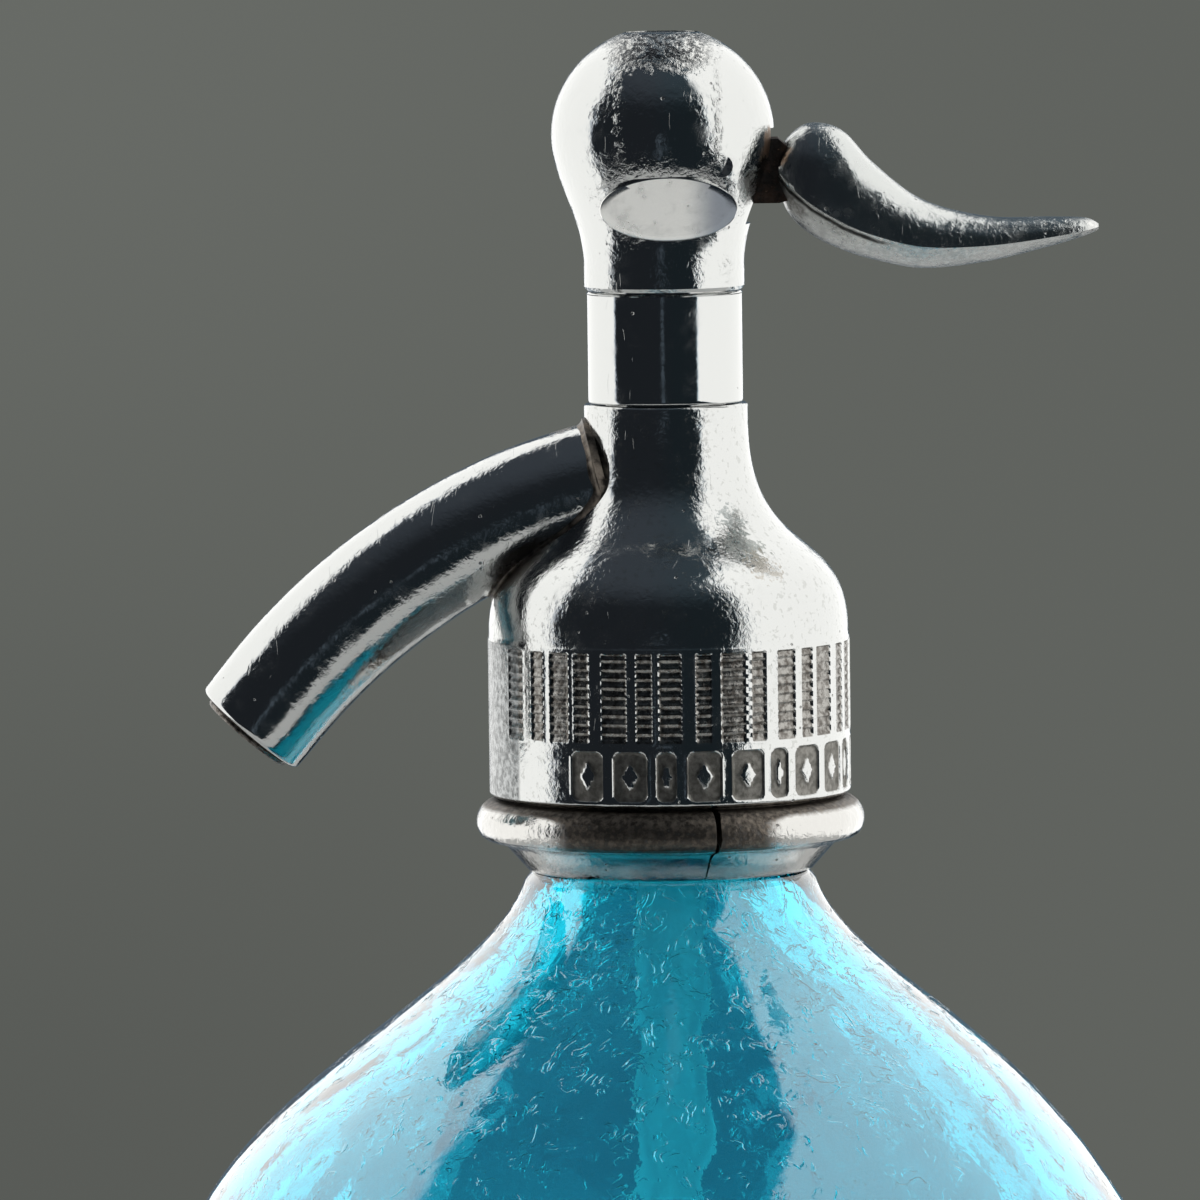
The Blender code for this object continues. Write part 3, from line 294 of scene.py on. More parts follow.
feed(tree, Base_Color=tube_tint, Roughness=ramp(tree, scale_marks, 0.3, 0.7, 0.7, 0.95),
     Normal=node(tree, "Bump", {"Height": scale_marks, "Strength": 0.5, "Distance": 0.0003}))
fit(dip_tube, "siphon", clouded, "tube_glass", "dip_tube")


def finish_node(name, material):
    """Give a CAD node that keeps its own shape a better material."""
    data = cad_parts[name].data
    data.materials.clear()
    data.materials.append(material)


def plain_finish(name, dark, pale, rough, scale, depth, metallic=0.0):
    """Two tones mixed by fine noise, with roughness and relief from the same noise."""
    material, tree, place = new_finish(name, {"Metallic": metallic})
    grain = noise(tree, place, scale, 4.0, 0.6)
    feed(tree, Base_Color=blend(tree, ramp(tree, grain, 0.35, 0.65), (*dark, 1), (*pale, 1)),
         Roughness=ramp(tree, grain, 0.3, 0.7, rough - 0.08, rough + 0.08),
         Normal=node(tree, "Bump", {"Height": grain, "Strength": 1.0, "Distance": depth}))
    return material


rubber = plain_finish("black_rubber", (0.018, 0.018, 0.019), (0.045, 0.044, 0.043), 0.7, 1800, 0.00004)
steel = plain_finish("plain_steel", (0.34, 0.34, 0.35), (0.48, 0.48, 0.48), 0.32, 2400, 0.00001, 1.0)
brass = plain_finish("turned_brass", (0.50, 0.36, 0.16), (0.68, 0.52, 0.25), 0.3, 2000, 0.00001, 1.0)
for name in ("tube_grommet", "mouth_gasket"):
    finish_node(name, rubber)

# Collar: a cast ring in two halves that closes round the glass under its lip. The head screws down over its
# thread. Its beaded rim shows below, darker on top, with painted shade across its front and back middle
# that leaves its left and right ends bright.
seam_angle = np.radians(14.0)
half_gap = 0.00027
collar_top, ledge = 0.2234, 0.2137
thread_radius, lip_bore, throat_bore = 0.0182, 0.0171, 0.0145
bead_centre, bead_radius = (0.0192, 0.2113), 0.0026


def fed(material, *names):
    """Outputs that now feed the Principled shader's sockets of those names."""
    sockets = material.node_tree.nodes["Principled BSDF"].inputs
    return [sockets[name].links[0].from_socket for name in names]


def pewter(name, tone, roughness=0.07, mottle=1.0, pitted=0.5, stains_and_painted_shade=()):
    """Polished and worn tin alloy: a fine ripple and a haze that come and go, pits, bent scratches, and
    stains, some of them with painted shade, given as (centre, size, colour, strength, crumble)."""
    material, tree, place = new_finish(name, {"Metallic": 1.0})
    patches = noise(tree, place, 240, 3.0, 0.55)
    ripple = noise(tree, place, 1500, 3.0, 0.6, 0.6)
    local = ramp(tree, patches, 0.36, 0.60, 0.010 * mottle, 0.055 * mottle)
    cells = node(tree, "TexVoronoi", {"Vector": place, "Scale": 1100.0})
    picked = node(tree, "SeparateColor", {0: cells.node.outputs["Color"]})
    picked = sums(tree, "GREATER_THAN", picked, ramp(tree, patches, 0.60, 0.42, 1.0 - 0.14 * pitted, 0.992))
    ragged = sums(tree, "ADD", cells, sums(tree, "MULTIPLY", ripple, 0.25))
    pits = sums(tree, "MULTIPLY", ramp(tree, ragged, 0.36, 0.24), picked)
    bend = noise(tree, place, 80).node.outputs["Color"]
    bend = node(tree, "VectorMath", {0: bend, "Scale": 0.005}, operation="SCALE")
    bent = node(tree, "VectorMath", {0: place, 1: bend}, operation="ADD")
    scratch = 0.0
    for turn in ((0.5, 0.9, 0.4), (1.9, 0.3, 2.1)):
        grooves = node(tree, "Mapping", {"Vector": bent, "Rotation": turn, "Scale": (3400, 200, 260)})
        scratch = sums(tree, "ADD", scratch, ramp(tree, noise(tree, grooves, 1.0, 1.0, 0.4), 0.745, 0.78))
    haze = ramp(tree, noise(tree, place, 330, 4.0, 0.65), 0.48, 0.72, roughness, roughness + 0.13)
    rough = sums(tree, "ADD", haze, sums(tree, "MULTIPLY", pits, 0.25))
    colour = blend(tree, sums(tree, "MULTIPLY", pits, 0.6), (*tone, 1), (0.10, 0.095, 0.09, 1))
    crumbs = ramp(tree, noise(tree, place, 1300, 4.0, 0.65), 0.40, 0.60)
    for centre, size, patch_colour, strength, crumble in stains_and_painted_shade:
        far = node(tree, "VectorMath", {0: place, 1: centre}, "Value", operation="DISTANCE")
        core = ramp(tree, far, size * 1.15, size * 0.35)
        near = sums(tree, "ADD", core, sums(tree, "MULTIPLY", crumbs, 0.55 * crumble))
        near = ramp(tree, near, 0.15 + 0.47 * crumble, 1.05, 0.0, strength)
        colour = blend(tree, near, colour, (*patch_colour, 1))
        rough = sums(tree, "ADD", rough, sums(tree, "MULTIPLY", near, 0.35))
    height = sums(tree, "MULTIPLY", noise(tree, place, 230, 2.0, 0.5), 0.018 * mottle)
    height = sums(tree, "ADD", height, sums(tree, "MULTIPLY", ripple, local))
    height = sums(tree, "SUBTRACT", height, sums(tree, "MULTIPLY", pits, 0.05))
    height = sums(tree, "SUBTRACT", height, sums(tree, "MULTIPLY", scratch, 0.006))
    feed(tree, Base_Color=colour, Roughness=rough,
         Normal=node(tree, "Bump", {"Height": height, "Strength": 1.0, "Distance": 0.001}))
    return material


def overlay(material, name, dark, pale, rough, metal=1.0, relief=0.0, crisp=0.0):
    """Lay a two-toned mark over a finish by the attribute of that name, with its own roughness and relief:
    grime for some callers, painted shade and painted reflections for others. The crisper it is, the sharper
    its crumbs' edges."""
    tree = material.node_tree
    colour, old_rough, old_normal = fed(material, "Base Color", "Roughness", "Normal")
    share = node(tree, "Attribute", {}, "Fac", attribute_name=name)
    crumb_noise = noise(tree, node(tree, "TexCoord", {}, "Object"), 1400, 4.0, 0.62)
    low, high = 0.35 + 0.10 * crisp, 0.65 - 0.10 * crisp
    grime_and_painted_light = blend(tree, ramp(tree, crumb_noise, low, high), (*dark, 1), (*pale, 1))
    broken = sums(tree, "ADD", share, sums(tree, "MULTIPLY", crumb_noise, 0.6))
    broken = ramp(tree, broken, 0.45 + 0.20 * crisp, 1.05 - 0.20 * crisp)
    inside_mark = sums(tree, "MINIMUM", sums(tree, "MULTIPLY", share, 4.0), 1.0)
    broken = sums(tree, "MULTIPLY", broken, inside_mark)
    lumps = sums(tree, "MULTIPLY", crumb_noise, sums(tree, "MULTIPLY", broken, relief))
    bump = node(tree, "Bump", {"Height": lumps, "Strength": 1.0, "Distance": 1.0, "Normal": old_normal})
    feed(tree, Base_Color=blend(tree, broken, colour, grime_and_painted_light), Normal=bump,
         Roughness=sums(tree, "ADD", old_rough, sums(tree, "MULTIPLY", broken, rough)))
    if metal < 1.0:
        feed(tree, Metallic=ramp(tree, broken, 0.0, 1.0, 1.0, metal))


def collar_half(name, side):
    """Half a turn of the collar's closed section. Its first end face wanders by a seeded zigzag from
    point to point of the section and its last is straight, so one side of each split is ragged."""
    section = join(line((lip_bore, collar_top), (thread_radius, collar_top), 2),
                   line((thread_radius, collar_top), (thread_radius, bead_centre[1] + bead_radius), 6),
                   arc(bead_centre, bead_radius, 90, -38, 20),
                   curve((0.0212, 0.2097), (0.0206, 0.2090), (0.0194, 0.2093), (0.0185, 0.2086), 6),
                   line((0.0185, 0.2086), (0.0160, 0.2058), 12), (0.01565, 0.2057),
                   line((throat_bore, 0.2072), (throat_bore, ledge), 4),
                   line((lip_bore, ledge), (lip_bore, 0.2220), 5))
    columns = 129
    seed = np.random.default_rng(5)
    jag = np.cumsum(seed.normal(size=len(section)) * 0.00007)
    jag -= np.linspace(jag[0], jag[-1], len(section))
    share = np.linspace(0.0, 1.0, columns)[None, :]
    gap = half_gap / section[:, :1]
    jag = jag[:, None] / section[:, :1]
    start = seam_angle + (0 if side > 0 else np.pi) - np.pi / 2
    from_first = start + gap + jag + share * (np.pi - 2 * gap - jag * 0.5)
    from_last = start + np.pi - gap - (1 - share) * (np.pi - 2 * gap)
    angle = np.where(share > 0.5, from_last, from_first)
    radius, height = section[:, :1] + 0 * share, section[:, 1:] + 0 * share
    points = np.stack((radius * np.cos(angle), radius * np.sin(angle), height), 2)
    faces = grid_faces(len(section), columns, True, False).tolist()
    index = np.arange(len(section) * columns).reshape(-1, columns)
    mesh = bpy.data.meshes.new(name)
    mesh.from_pydata(points.reshape(-1, 3).tolist(), [],
                     faces + [index[:, 0].tolist()[::-1], index[:, -1].tolist()])
    mesh.shade_smooth()
    mesh.set_sharp_from_angle(angle=np.radians(40))
    piece = bpy.data.objects.new(name, mesh)
    bpy.context.scene.collection.objects.link(piece)
    return piece


collar_metal = pewter("worn_collar_metal", (0.56, 0.55, 0.53), 0.09, 2.2, 0.9)
overlay(collar_metal, "grime_and_painted_light", (0.045, 0.038, 0.032), (0.17, 0.145, 0.12), 0.33, 0.8, 0.00002)
for name, side in (("left", -1), ("right", 1)):
    half = collar_half("collar_" + name, side)
    spot = places(half)
    from_bead = np.hypot(spot[:, 0], spot[:, 1]) - bead_centre[0]
    tilt = np.degrees(np.arctan2(spot[:, 2] - bead_centre[1], from_bead))
    # The mark darkens the top of the bead and lays painted shade across its front and back middle, but not
    # on its left and right ends.
    bead_ends = np.clip((np.abs(spot[:, 0] + 0.0006) - 0.0108) / 0.0030, 0, 1)
    mark(half, "grime_and_painted_light", np.clip((tilt - 28) / 30, 0, 1) + np.where(tilt > -50, 0.72 * (1 - bead_ends), 0))
    fit(half, "siphon", collar_metal, "collar_metal", "collar_half_" + name)
finish_node("tube_holder", pewter("holder_metal", (0.55, 0.55, 0.54), 0.25, 1.0, 0.6))

# Head body: one tin alloy casting, turned and polished, from the skirt that screws over the
# collar up to the round neck. Two rows of plain sunk tablets are pressed into the skirt.
neck_radius, neck_top = 0.0092, 0.2581
shoulder_radius = 0.0202
skirt_radius = 0.0203
skirt_foot, skirt_bore = 0.2142, 0.0185
band_top = 0.2319
upper_row = (0.2214, 0.2315)
lower_row = (0.2149, 0.2206)
between_rows = upper_row[0] - 0.0004
foot_chamfer = 0.0004


def tablets(first, last, widths, gaps):
    """Centres and half widths, as angles from the front, of tablets laid side by side round the
    skirt: each starts where the one before ends, plus its gap."""
    centres, halves = [], []
    start = np.radians(first)
    while start < np.radians(last):
        width = widths[len(centres) % len(widths)] / skirt_radius
        centres.append(start + width / 2)
        halves.append(width / 2)
        start += width + gaps[len(centres) % len(gaps)] / skirt_radius
    return np.array(centres), np.array(halves)


upper = tablets(-62, 158, (0.0030, 0.0019, 0.0026, 0.0019), (0.0007, 0.0015, 0.0010))
lower = tablets(-33, 129, (0.0040, 0.0040, 0.0024), (0.0011, 0.0011, 0.0009))


def rounded_box(across, up, half_width, half_height, corner):
    """Signed distance to a rectangle with rounded corners: below zero inside it."""
    dx, dz = np.abs(across) - half_width + corner, np.abs(up) - half_height + corner
    outside = np.hypot(np.maximum(dx, 0), np.maximum(dz, 0))
    return outside + np.minimum(np.maximum(dx, dz), 0) - corner


def nearest_tablet(front_angle, row):
    """How far along the skirt each angle stands from the middle of its nearest tablet, and that
    tablet's half width, both as lengths."""
    away = front_angle[..., None] - row[0]
    pick = np.argmin(np.abs(away) - row[1], -1)
    near = np.take_along_axis(away, pick[..., None], -1)[..., 0]
    return near * skirt_radius, row[1][pick] * skirt_radius


def pressed_depth(height, front_angle):
    """Depth of the pressed tablets: the upper ones hatched by ridges 1 mm apart, the lower ones
    sunk flat round a raised lozenge, each with a low bright rim. The shares of either row's sunk
    floor come with it."""
    across, half = nearest_tablet(front_angle, upper)
    middle, reach = np.mean(upper_row), (upper_row[1] - upper_row[0]) / 2
    edge = rounded_box(across, height - middle, half, reach, 0.0002)
    ridges = 0.5 + 0.5 * np.sin((height - upper_row[0]) * 2 * np.pi / 0.00102)
    floor = np.clip(-edge / 0.00018, 0, 1)
    depth = -floor * (0.00026 - 0.00017 * ridges ** 2)
    rim = np.exp(-(edge / 0.00013) ** 2) * 0.00004
    across, half = nearest_tablet(front_angle, lower)
    middle, reach = np.mean(lower_row), (lower_row[1] - lower_row[0]) / 2
    edge = rounded_box(across, height - middle, half, reach, 0.0009)
    lozenge = np.abs(across) / (half * 0.42) + np.abs(height - middle) / (reach * 0.50) - 1
    floor_low = np.clip(-edge / 0.00018, 0, 1) * np.clip(lozenge / 0.25, 0, 1)
    rim_low = np.exp(-(edge / 0.00015) ** 2) * 0.00006
    return depth - floor_low * 0.00024 + rim + rim_low, floor, floor_low


def from_front(angles):
    """Angle from the siphon's front: the mesh's own plus 90 degrees, wrapped to -90 to 270."""
    return (angles + np.pi) % (2 * np.pi) - np.pi / 2


def head_relief(radius, height, angles):
    """Radius change of the skirt's outer face between its foot and the top of its band."""
    outer = (radius > skirt_radius - 0.00001) & (height < band_top) & (height > skirt_foot + foot_chamfer)
    return np.where(outer, pressed_depth(height, from_front(angles) + 0 * height)[0], 0.0)


neck_and_shoulder = join(
    line((neck_radius, 0.2577), (neck_radius, 0.2562), 3),
    curve((neck_radius, 0.2562), (neck_radius, 0.2399), (shoulder_radius, 0.2448),
          (shoulder_radius, 0.2325), 56))
head_outline = join(
    (0.0071, neck_top), (0.0090, neck_top), (neck_radius, 0.2579), neck_and_shoulder,
    (shoulder_radius, band_top + 0.0001), (skirt_radius, band_top),
    line((skirt_radius, band_top), (skirt_radius, between_rows), 78),
    line((skirt_radius, between_rows), (skirt_radius, skirt_foot + foot_chamfer), 34),
    (0.0199, skirt_foot), line((skirt_bore, skirt_foot), (skirt_bore, 0.2260), 3), (0.0050, 0.2260),
    (0.0050, 0.2340), (0.0063, 0.2340), (0.0063, 0.2541), (0.0071, 0.2541))
edges = np.concatenate([(row[0] + side * (row[1] + step / skirt_radius)) for row in (upper, lower)
                        for side in (-1, 1) for step in (-0.0002, 0.00002)]) - np.pi / 2
edges = np.sort(np.concatenate((edges % (2 * np.pi), round_about(380))))
head_angles = edges[np.concatenate(([True], np.diff(edges) > 0.0028))]
head = turned("head_casting", head_outline, head_angles, True, head_relief, 50.0)
spot = places(head)
on_band = (np.hypot(spot[:, 0], spot[:, 1]) > skirt_radius - 0.0006) & (spot[:, 2] < band_top)
hatched, sunk = pressed_depth(spot[:, 2], from_front(np.arctan2(spot[:, 1], spot[:, 0])))[1:]
# Painted reflection: the band's left edge is painted grey as a painted reflection of the grey backdrop, and
# made rougher and lumpier.
painted_grey_reflection = np.clip((-spot[:, 0] - 0.0166) / 0.0006, 0, 1)
for name, share in (("hatched", hatched), ("sunk", sunk), ("painted_grey_reflection", painted_grey_reflection)):
    mark(head, name, np.where(on_band, share, 0))

polished_tin = (0.55, 0.555, 0.545)
head_metal = pewter("polished_head_metal", polished_tin, 0.09, 1.0, 0.6, (
    ((0.0090, -0.0125, 0.2430), 0.0030, (0.09, 0.12, 0.10), 0.45, 1.9),
    ((0.0100, -0.0130, 0.2402), 0.0026, (0.36, 0.30, 0.23), 0.4, 1.9),
    ((0.0076, -0.0105, 0.2462), 0.0024, (0.11, 0.15, 0.15), 0.4, 1.9),
    # The next stain is brown grime at the spout's joint, darkened further as painted shade under the spout.
    ((-0.0160, -0.0040, 0.2405), 0.0062, (0.10, 0.08, 0.065), 0.95, 0.2),
    ((-0.0110, -0.0045, 0.2465), 0.0044, (0.26, 0.21, 0.17), 0.9, 0.4),
    ((-0.0094, -0.0020, 0.2540), 0.0034, (0.40, 0.34, 0.28), 0.6, 0.5)))
overlay(head_metal, "hatched", (0.10, 0.09, 0.08), (0.34, 0.33, 0.31), 0.15)
overlay(head_metal, "sunk", (0.15, 0.145, 0.13), (0.27, 0.26, 0.24), 0.45)
overlay(head_metal, "painted_grey_reflection", (0.12, 0.125, 0.125), (0.36, 0.37, 0.37), 0.12, relief=0.00005)
fit(head, "siphon", head_metal, "head_metal", "head_body")

# Spout: a cast tube bent on one radius and straight at its tip, soldered to the head's shoulder.
# The solder leaves a low bead that holds brown grime.
tube_radius, tip_radius, spout_bore = 0.00705, 0.0068, 0.0042
bend_radius = 0.0735
bend_centre = (0.0108, neck_top - 0.0067 - bend_radius)
root_x = -0.0075
end_angle = np.radians(49.0)
straight_tip = 0.005
spout_columns = 128


def spout_line(way):
    """Middle line of the spout by distance from upright: an arc up to its end angle, then its
    tangent, drawn in by up to 0.9 mm towards the tip, where the tube was bent a little more.
    Gives the points and the outward directions in the plane of the bend."""
    turn = np.minimum(way / bend_radius, end_angle)
    beyond = np.maximum(way - bend_radius * end_angle, 0.0)
    drawn = 0.0003 * np.clip((way - 0.028) / 0.014, 0, 1)
    drawn = drawn + 0.0006 * np.clip((way - 0.040) / 0.028, 0, 1) ** 1.3
    x = bend_centre[0] - (bend_radius - drawn) * np.sin(turn) - beyond * np.cos(turn)
    z = bend_centre[1] + (bend_radius - drawn) * np.cos(turn) - beyond * np.sin(turn)
    return x, z, -np.sin(turn), np.cos(turn)


def spout_surface(way, radius, angle):
    """Points round the spout's middle line: radius cos(a) outwards in the plane of the bend and
    radius sin(a) to the side."""
    x, z, out_x, out_z = spout_line(way)
    up, side = radius * np.cos(angle), radius * np.sin(angle)
    return np.stack(np.broadcast_arrays(x + out_x * up, side, z + out_z * up), -1)


def head_skin(z):
    """Radius of the head's outer face at a height."""
    upwards = neck_and_shoulder[::-1]
    return np.interp(z, upwards[:, 1], upwards[:, 0])


spout_end = bend_radius * end_angle + straight_tip
spout_start = bend_radius * np.arcsin((bend_centre[0] - root_x) / bend_radius)
tube_side = line((spout_start, tube_radius), (0.042, tube_radius), 50)
tube_tip = curve((0.042, tube_radius), (0.052, tube_radius), (spout_end - 0.004, 0.0069),
                 (spout_end - 0.0008, tip_radius), 30)
tube_mouth = curve(tube_tip[-1], (spout_end - 0.0003, tip_radius), (spout_end - 0.0001, 0.0065),
                   (spout_end - 0.0001, 0.0059), 8)
mouth_lip = arc((spout_end + 0.0002, 0.0051), 0.0004, 130, 0, 8)
spout_section = join(tube_side, tube_tip, tube_mouth, (spout_end - 0.0004, 0.0056), mouth_lip,
                     (spout_end - 0.0003, 0.0045),
                     line((spout_end - 0.001, spout_bore), (spout_start, spout_bore), 40))
section_way, section_radius = spout_section[:, :1], spout_section[:, 1:]
groove = np.clip((section_way - spout_end + 0.0003) / 0.0002, 0, 1)
around = round_about(spout_columns)[None, :]
spout_points = spout_surface(section_way, section_radius, -around)
spout_faces = grid_faces(len(section_way), spout_columns, True, True)
spout = solid("spout_tube", spout_points.reshape(-1, 3), spout_faces, 60.0)
spout_metal = pewter("polished_spout_metal", polished_tin, 0.09, 0.9, 0.6, (
    ((-0.0120, 0.0, 0.2570), 0.0036, (0.44, 0.38, 0.32), 0.7, 0.5),
    # This stain is brown grime where the spout meets the head, darkened further as painted shade under the
    # spout.
    ((-0.0165, -0.0030, 0.2385), 0.0046, (0.12, 0.10, 0.085), 0.9, 0.4)))
overlay(spout_metal, "groove", (0.04, 0.035, 0.03), (0.22, 0.20, 0.18), 0.3)
mark(spout, "groove", (0.8 * groove + 0 * around).ravel())
fit(spout, "siphon", spout_metal, "spout_metal", "spout")


def root_way(radius):
    """How far along the spout a tube of this radius leaves the head's skin, at each angle: the
    first of 600 steps that lies outside, averaged with its neighbours on both sides."""
    ways = np.linspace(spout_start, spout_start + 0.030, 600)[:, None]
    points = spout_surface(ways, radius, -around)
    inside = np.hypot(points[..., 0], points[..., 1]) < head_skin(points[..., 2])
    found = ways[np.argmin(inside, axis=0), 0]
    return (found + np.roll(found, 1) + np.roll(found, -1)) / 3


wobble = 1 + 0.16 * np.sin(around[0] * 5 + 1) + 0.09 * np.sin(around[0] * 11)
reach = (0.0007 - 0.0001 * np.cos(around[0])) * wobble
on_head = np.array([root_way(tube_radius + size)[k] for k, size in enumerate(reach)])
at_root = root_way(tube_radius)
t = np.linspace(0.0, 1.0, 11)[:, None]
fillet_way = (1 - t) ** 2 * (at_root + reach) + 2 * t * (1 - t) * (at_root + 0.00015) + t * t * on_head
skin_radius = tube_radius + 0.00002
fillet_radius = ((1 - t) ** 2 * skin_radius + 2 * t * (1 - t) * (skin_radius + 0.00015)
                 + t * t * (skin_radius + reach))
fillet_way = np.concatenate((fillet_way, on_head[None] - 0.0008, at_root[None] - 0.0008))
fillet_radius = np.concatenate((fillet_radius, 0.0066 + reach[None], 0.0062 + 0 * reach[None]))
solder_points = spout_surface(fillet_way, fillet_radius, -around)
solder_faces = grid_faces(len(fillet_way), spout_columns, True, True)
solder = solid("spout_solder", solder_points.reshape(-1, 3), solder_faces, 60.0)
solder.data.materials.append(plain_finish(
    "grimy_solder", (0.06, 0.05, 0.042), (0.24, 0.205, 0.17), 0.42, 900, 0.00005, 0.8))
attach(solder, "siphon")

# Valve set: a brass seat under a rubber seal held in a brass cup on the steel spindle, with the
# nut, packing and spring that stand inside the barrel. They are plain turned and stock pieces.
for name in ("valve_seat", "seal_cup", "lifting_nut", "gland_nut"):
    finish_node(name, brass)
for name in ("valve_spindle", "spring_washer", "return_spring"):
    finish_node(name, steel)
for name in ("valve_seal", "gland_packing"):
    finish_node(name, rubber)

# Valve barrel: a plain turned sleeve that screws into the head below and the ball above, with a
# fine raised ring at its top joint.
barrel_radius, screw_radius = 0.0087, 0.0068
spring_bore, spindle_bore = 0.0049, 0.0018
barrel_outline = join(
    (spring_bore, 0.2750), (screw_radius, 0.2750), (screw_radius, 0.27075), (0.00855, 0.27075),
    (0.00878, 0.2705), (barrel_radius, 0.2704),
    line((barrel_radius, 0.2703), (barrel_radius, 0.2585), 30), (0.0086, 0.2583),
    (screw_radius, 0.2583), (screw_radius, 0.2544),
    (spindle_bore, 0.2544), (spindle_bore, 0.2564), (spring_bore, 0.2564))
barrel = turned("barrel_sleeve", barrel_outline, round_about(160))
barrel_metal = pewter("polished_barrel_metal", polished_tin, 0.06, 0.2, 0.2)
fit(barrel, "siphon", barrel_metal, "head_metal", "valve_barrel")

# Ball housing: a hollow cast ball on a short neck, with an oval spanner flat front and back and
# a slot on the right for the lever. The lever's steel pin is filed flush and lost in the polish.
ball_level, ball_radius, crown_height = 0.2883, 0.0125, 0.01205
stem_radius, screw_bore = 0.0090, 0.0071
plug_bore, hollow_radius, spindle_hole = 0.0041, 0.0060, 0.0022
crown = arc((0, 0), 1.0, 69.0, 0, 60) * (ball_radius, crown_height) + (0, ball_level)
ball_outer = join(
    (plug_bore, 0.2997), crown,
    curve((ball_radius, ball_level), (ball_radius, 0.2834), (0.0093, 0.2796), (stem_radius, 0.2743), 60),
    line((stem_radius, 0.2743), (stem_radius, 0.2713), 12))
ball_outline = join(
    ball_outer, (0.00875, 0.2709), (screw_bore, 0.2709), (screw_bore, 0.2753), (spindle_hole, 0.2753),
    (spindle_hole, 0.2773), line((hollow_radius, 0.2773), (hollow_radius, 0.2930), 12),
    (plug_bore, 0.2930))
flat_level = 0.2803
flat_middle = 0.0005
flat_size = (0.00765, 0.0036)


def flat_face(rise):
    """Distance of the flat's face from the axis at a height above its middle."""
    return 0.01068 + 0.00118 * rise / flat_size[1]


def oval_boss(side):
    """Closed oval plate: rings of an ellipse 15.3 by 7.2 mm run from its middle out over a worn
    edge and back into the wall. Its face slopes in by 2.4 mm from the top of the oval to its foot."""
    rings = np.array(((0.0, 0), (0.3, 0), (0.6, 0), (0.85, 0), (0.965, 0), (0.99, 0.00006), (1, 0.0002),
                      (1, 0.0015), (1, 1), (0.0, 1)))
    angle = round_about(120)[None, :]
    x = flat_size[0] * rings[:, :1] * np.cos(angle)
    rise = flat_size[1] * rings[:, :1] * np.sin(angle)
    face = flat_face(rise) - np.minimum(rings[:, 1:], 0.01)
    y = side * np.where(rings[:, 1:] > 0.5, 0.0066, face)
    points = np.stack((flat_middle - side * x, y, flat_level + rise), -1)
    return points.reshape(-1, 3), grid_faces(len(rings), 120, False, True)


ball = turned("ball_casting", ball_outline, round_about(224))
cutter = bpy.data.meshes.new("slot_cutter")
slot_x, slot_y, slot_z = (0.002, 0.0145), (-0.0033, 0.0033), (0.2782, 0.2889)
corners = np.array([(x, y, z) for x in slot_x for y in slot_y for z in slot_z])
cutter.from_pydata(corners.tolist(), [], [(0, 1, 3, 2), (4, 6, 7, 5), (0, 4, 5, 1), (2, 3, 7, 6),
                                          (0, 2, 6, 4), (1, 5, 7, 3)])
slot_cutter = bpy.data.objects.new("slot_cutter", cutter)
bpy.context.scene.collection.objects.link(slot_cutter)
cut = ball.modifiers.new("slot", "BOOLEAN")
cut.operation, cut.object, cut.solver = "DIFFERENCE", slot_cutter, "EXACT"
cut_mesh = bpy.data.meshes.new_from_object(ball.evaluated_get(bpy.context.evaluated_depsgraph_get()))
ball.modifiers.clear()
ball.data = cut_mesh
bpy.data.objects.remove(slot_cutter, do_unlink=True)

model = bmesh.new()
model.from_mesh(ball.data)
for side in (-1, 1):
    points, faces = oval_boss(side)
    boss = bpy.data.meshes.new("oval_boss")
    boss.from_pydata(points.tolist(), [], faces.tolist())
    model.from_mesh(boss)
    bpy.data.meshes.remove(boss)
bmesh.ops.remove_doubles(model, verts=model.verts, dist=merge_distance)
model.to_mesh(ball.data)
model.free()
ball.data.shade_smooth()
ball.data.set_sharp_from_angle(angle=np.radians(30))
spot = places(ball)
rise = spot[:, 2] - flat_level
within_oval = ((spot[:, 0] - flat_middle) / flat_size[0]) ** 2 + (rise / flat_size[1]) ** 2 < 1.0
mark(ball, "ground_flat", (np.abs(np.abs(spot[:, 1]) - flat_face(rise)) < 0.00012) & within_oval)
battered = np.clip((spot[:, 2] - 0.2935) / 0.0035, 0, 1) * np.exp(-(np.abs(spot[:, 0]) / 0.0070) ** 4)
scuffed = np.exp(-((np.abs(spot[:, 0] - 0.0006) - 0.0056) / 0.0013) ** 2)
battered = np.maximum(0.62 * battered, 0.38 * scuffed * np.clip((spot[:, 2] - 0.283) / 0.004, 0, 1))
mark(ball, "battered", np.where(np.hypot(spot[:, 0], spot[:, 1]) > 0.0042, battered, 0))
ball_metal = pewter("polished_ball_metal", polished_tin, 0.08, 1.2, 0.8, (
    ((0.0120, -0.0040, 0.2872), 0.0024, (0.30, 0.16, 0.08), 0.8, 0.5),
    # The next stain, dark beside the slot, is painted shade and a painted reflection of the lever's hub.
    ((0.0112, -0.0056, 0.2812), 0.0026, (0.10, 0.09, 0.08), 0.9, 0.6)))
overlay(ball_metal, "battered", (0.06, 0.062, 0.065), (0.62, 0.62, 0.60), 0.10,
        relief=0.00016, crisp=0.8)
tree = ball_metal.node_tree
colour, rough, bumpy = fed(ball_metal, "Base Color", "Roughness", "Normal")
ground = node(tree, "Attribute", {}, "Fac", attribute_name="ground_flat")
away = node(tree, "SeparateXYZ", {"Vector": node(tree, "TexCoord", {}, "Object")}, "X")
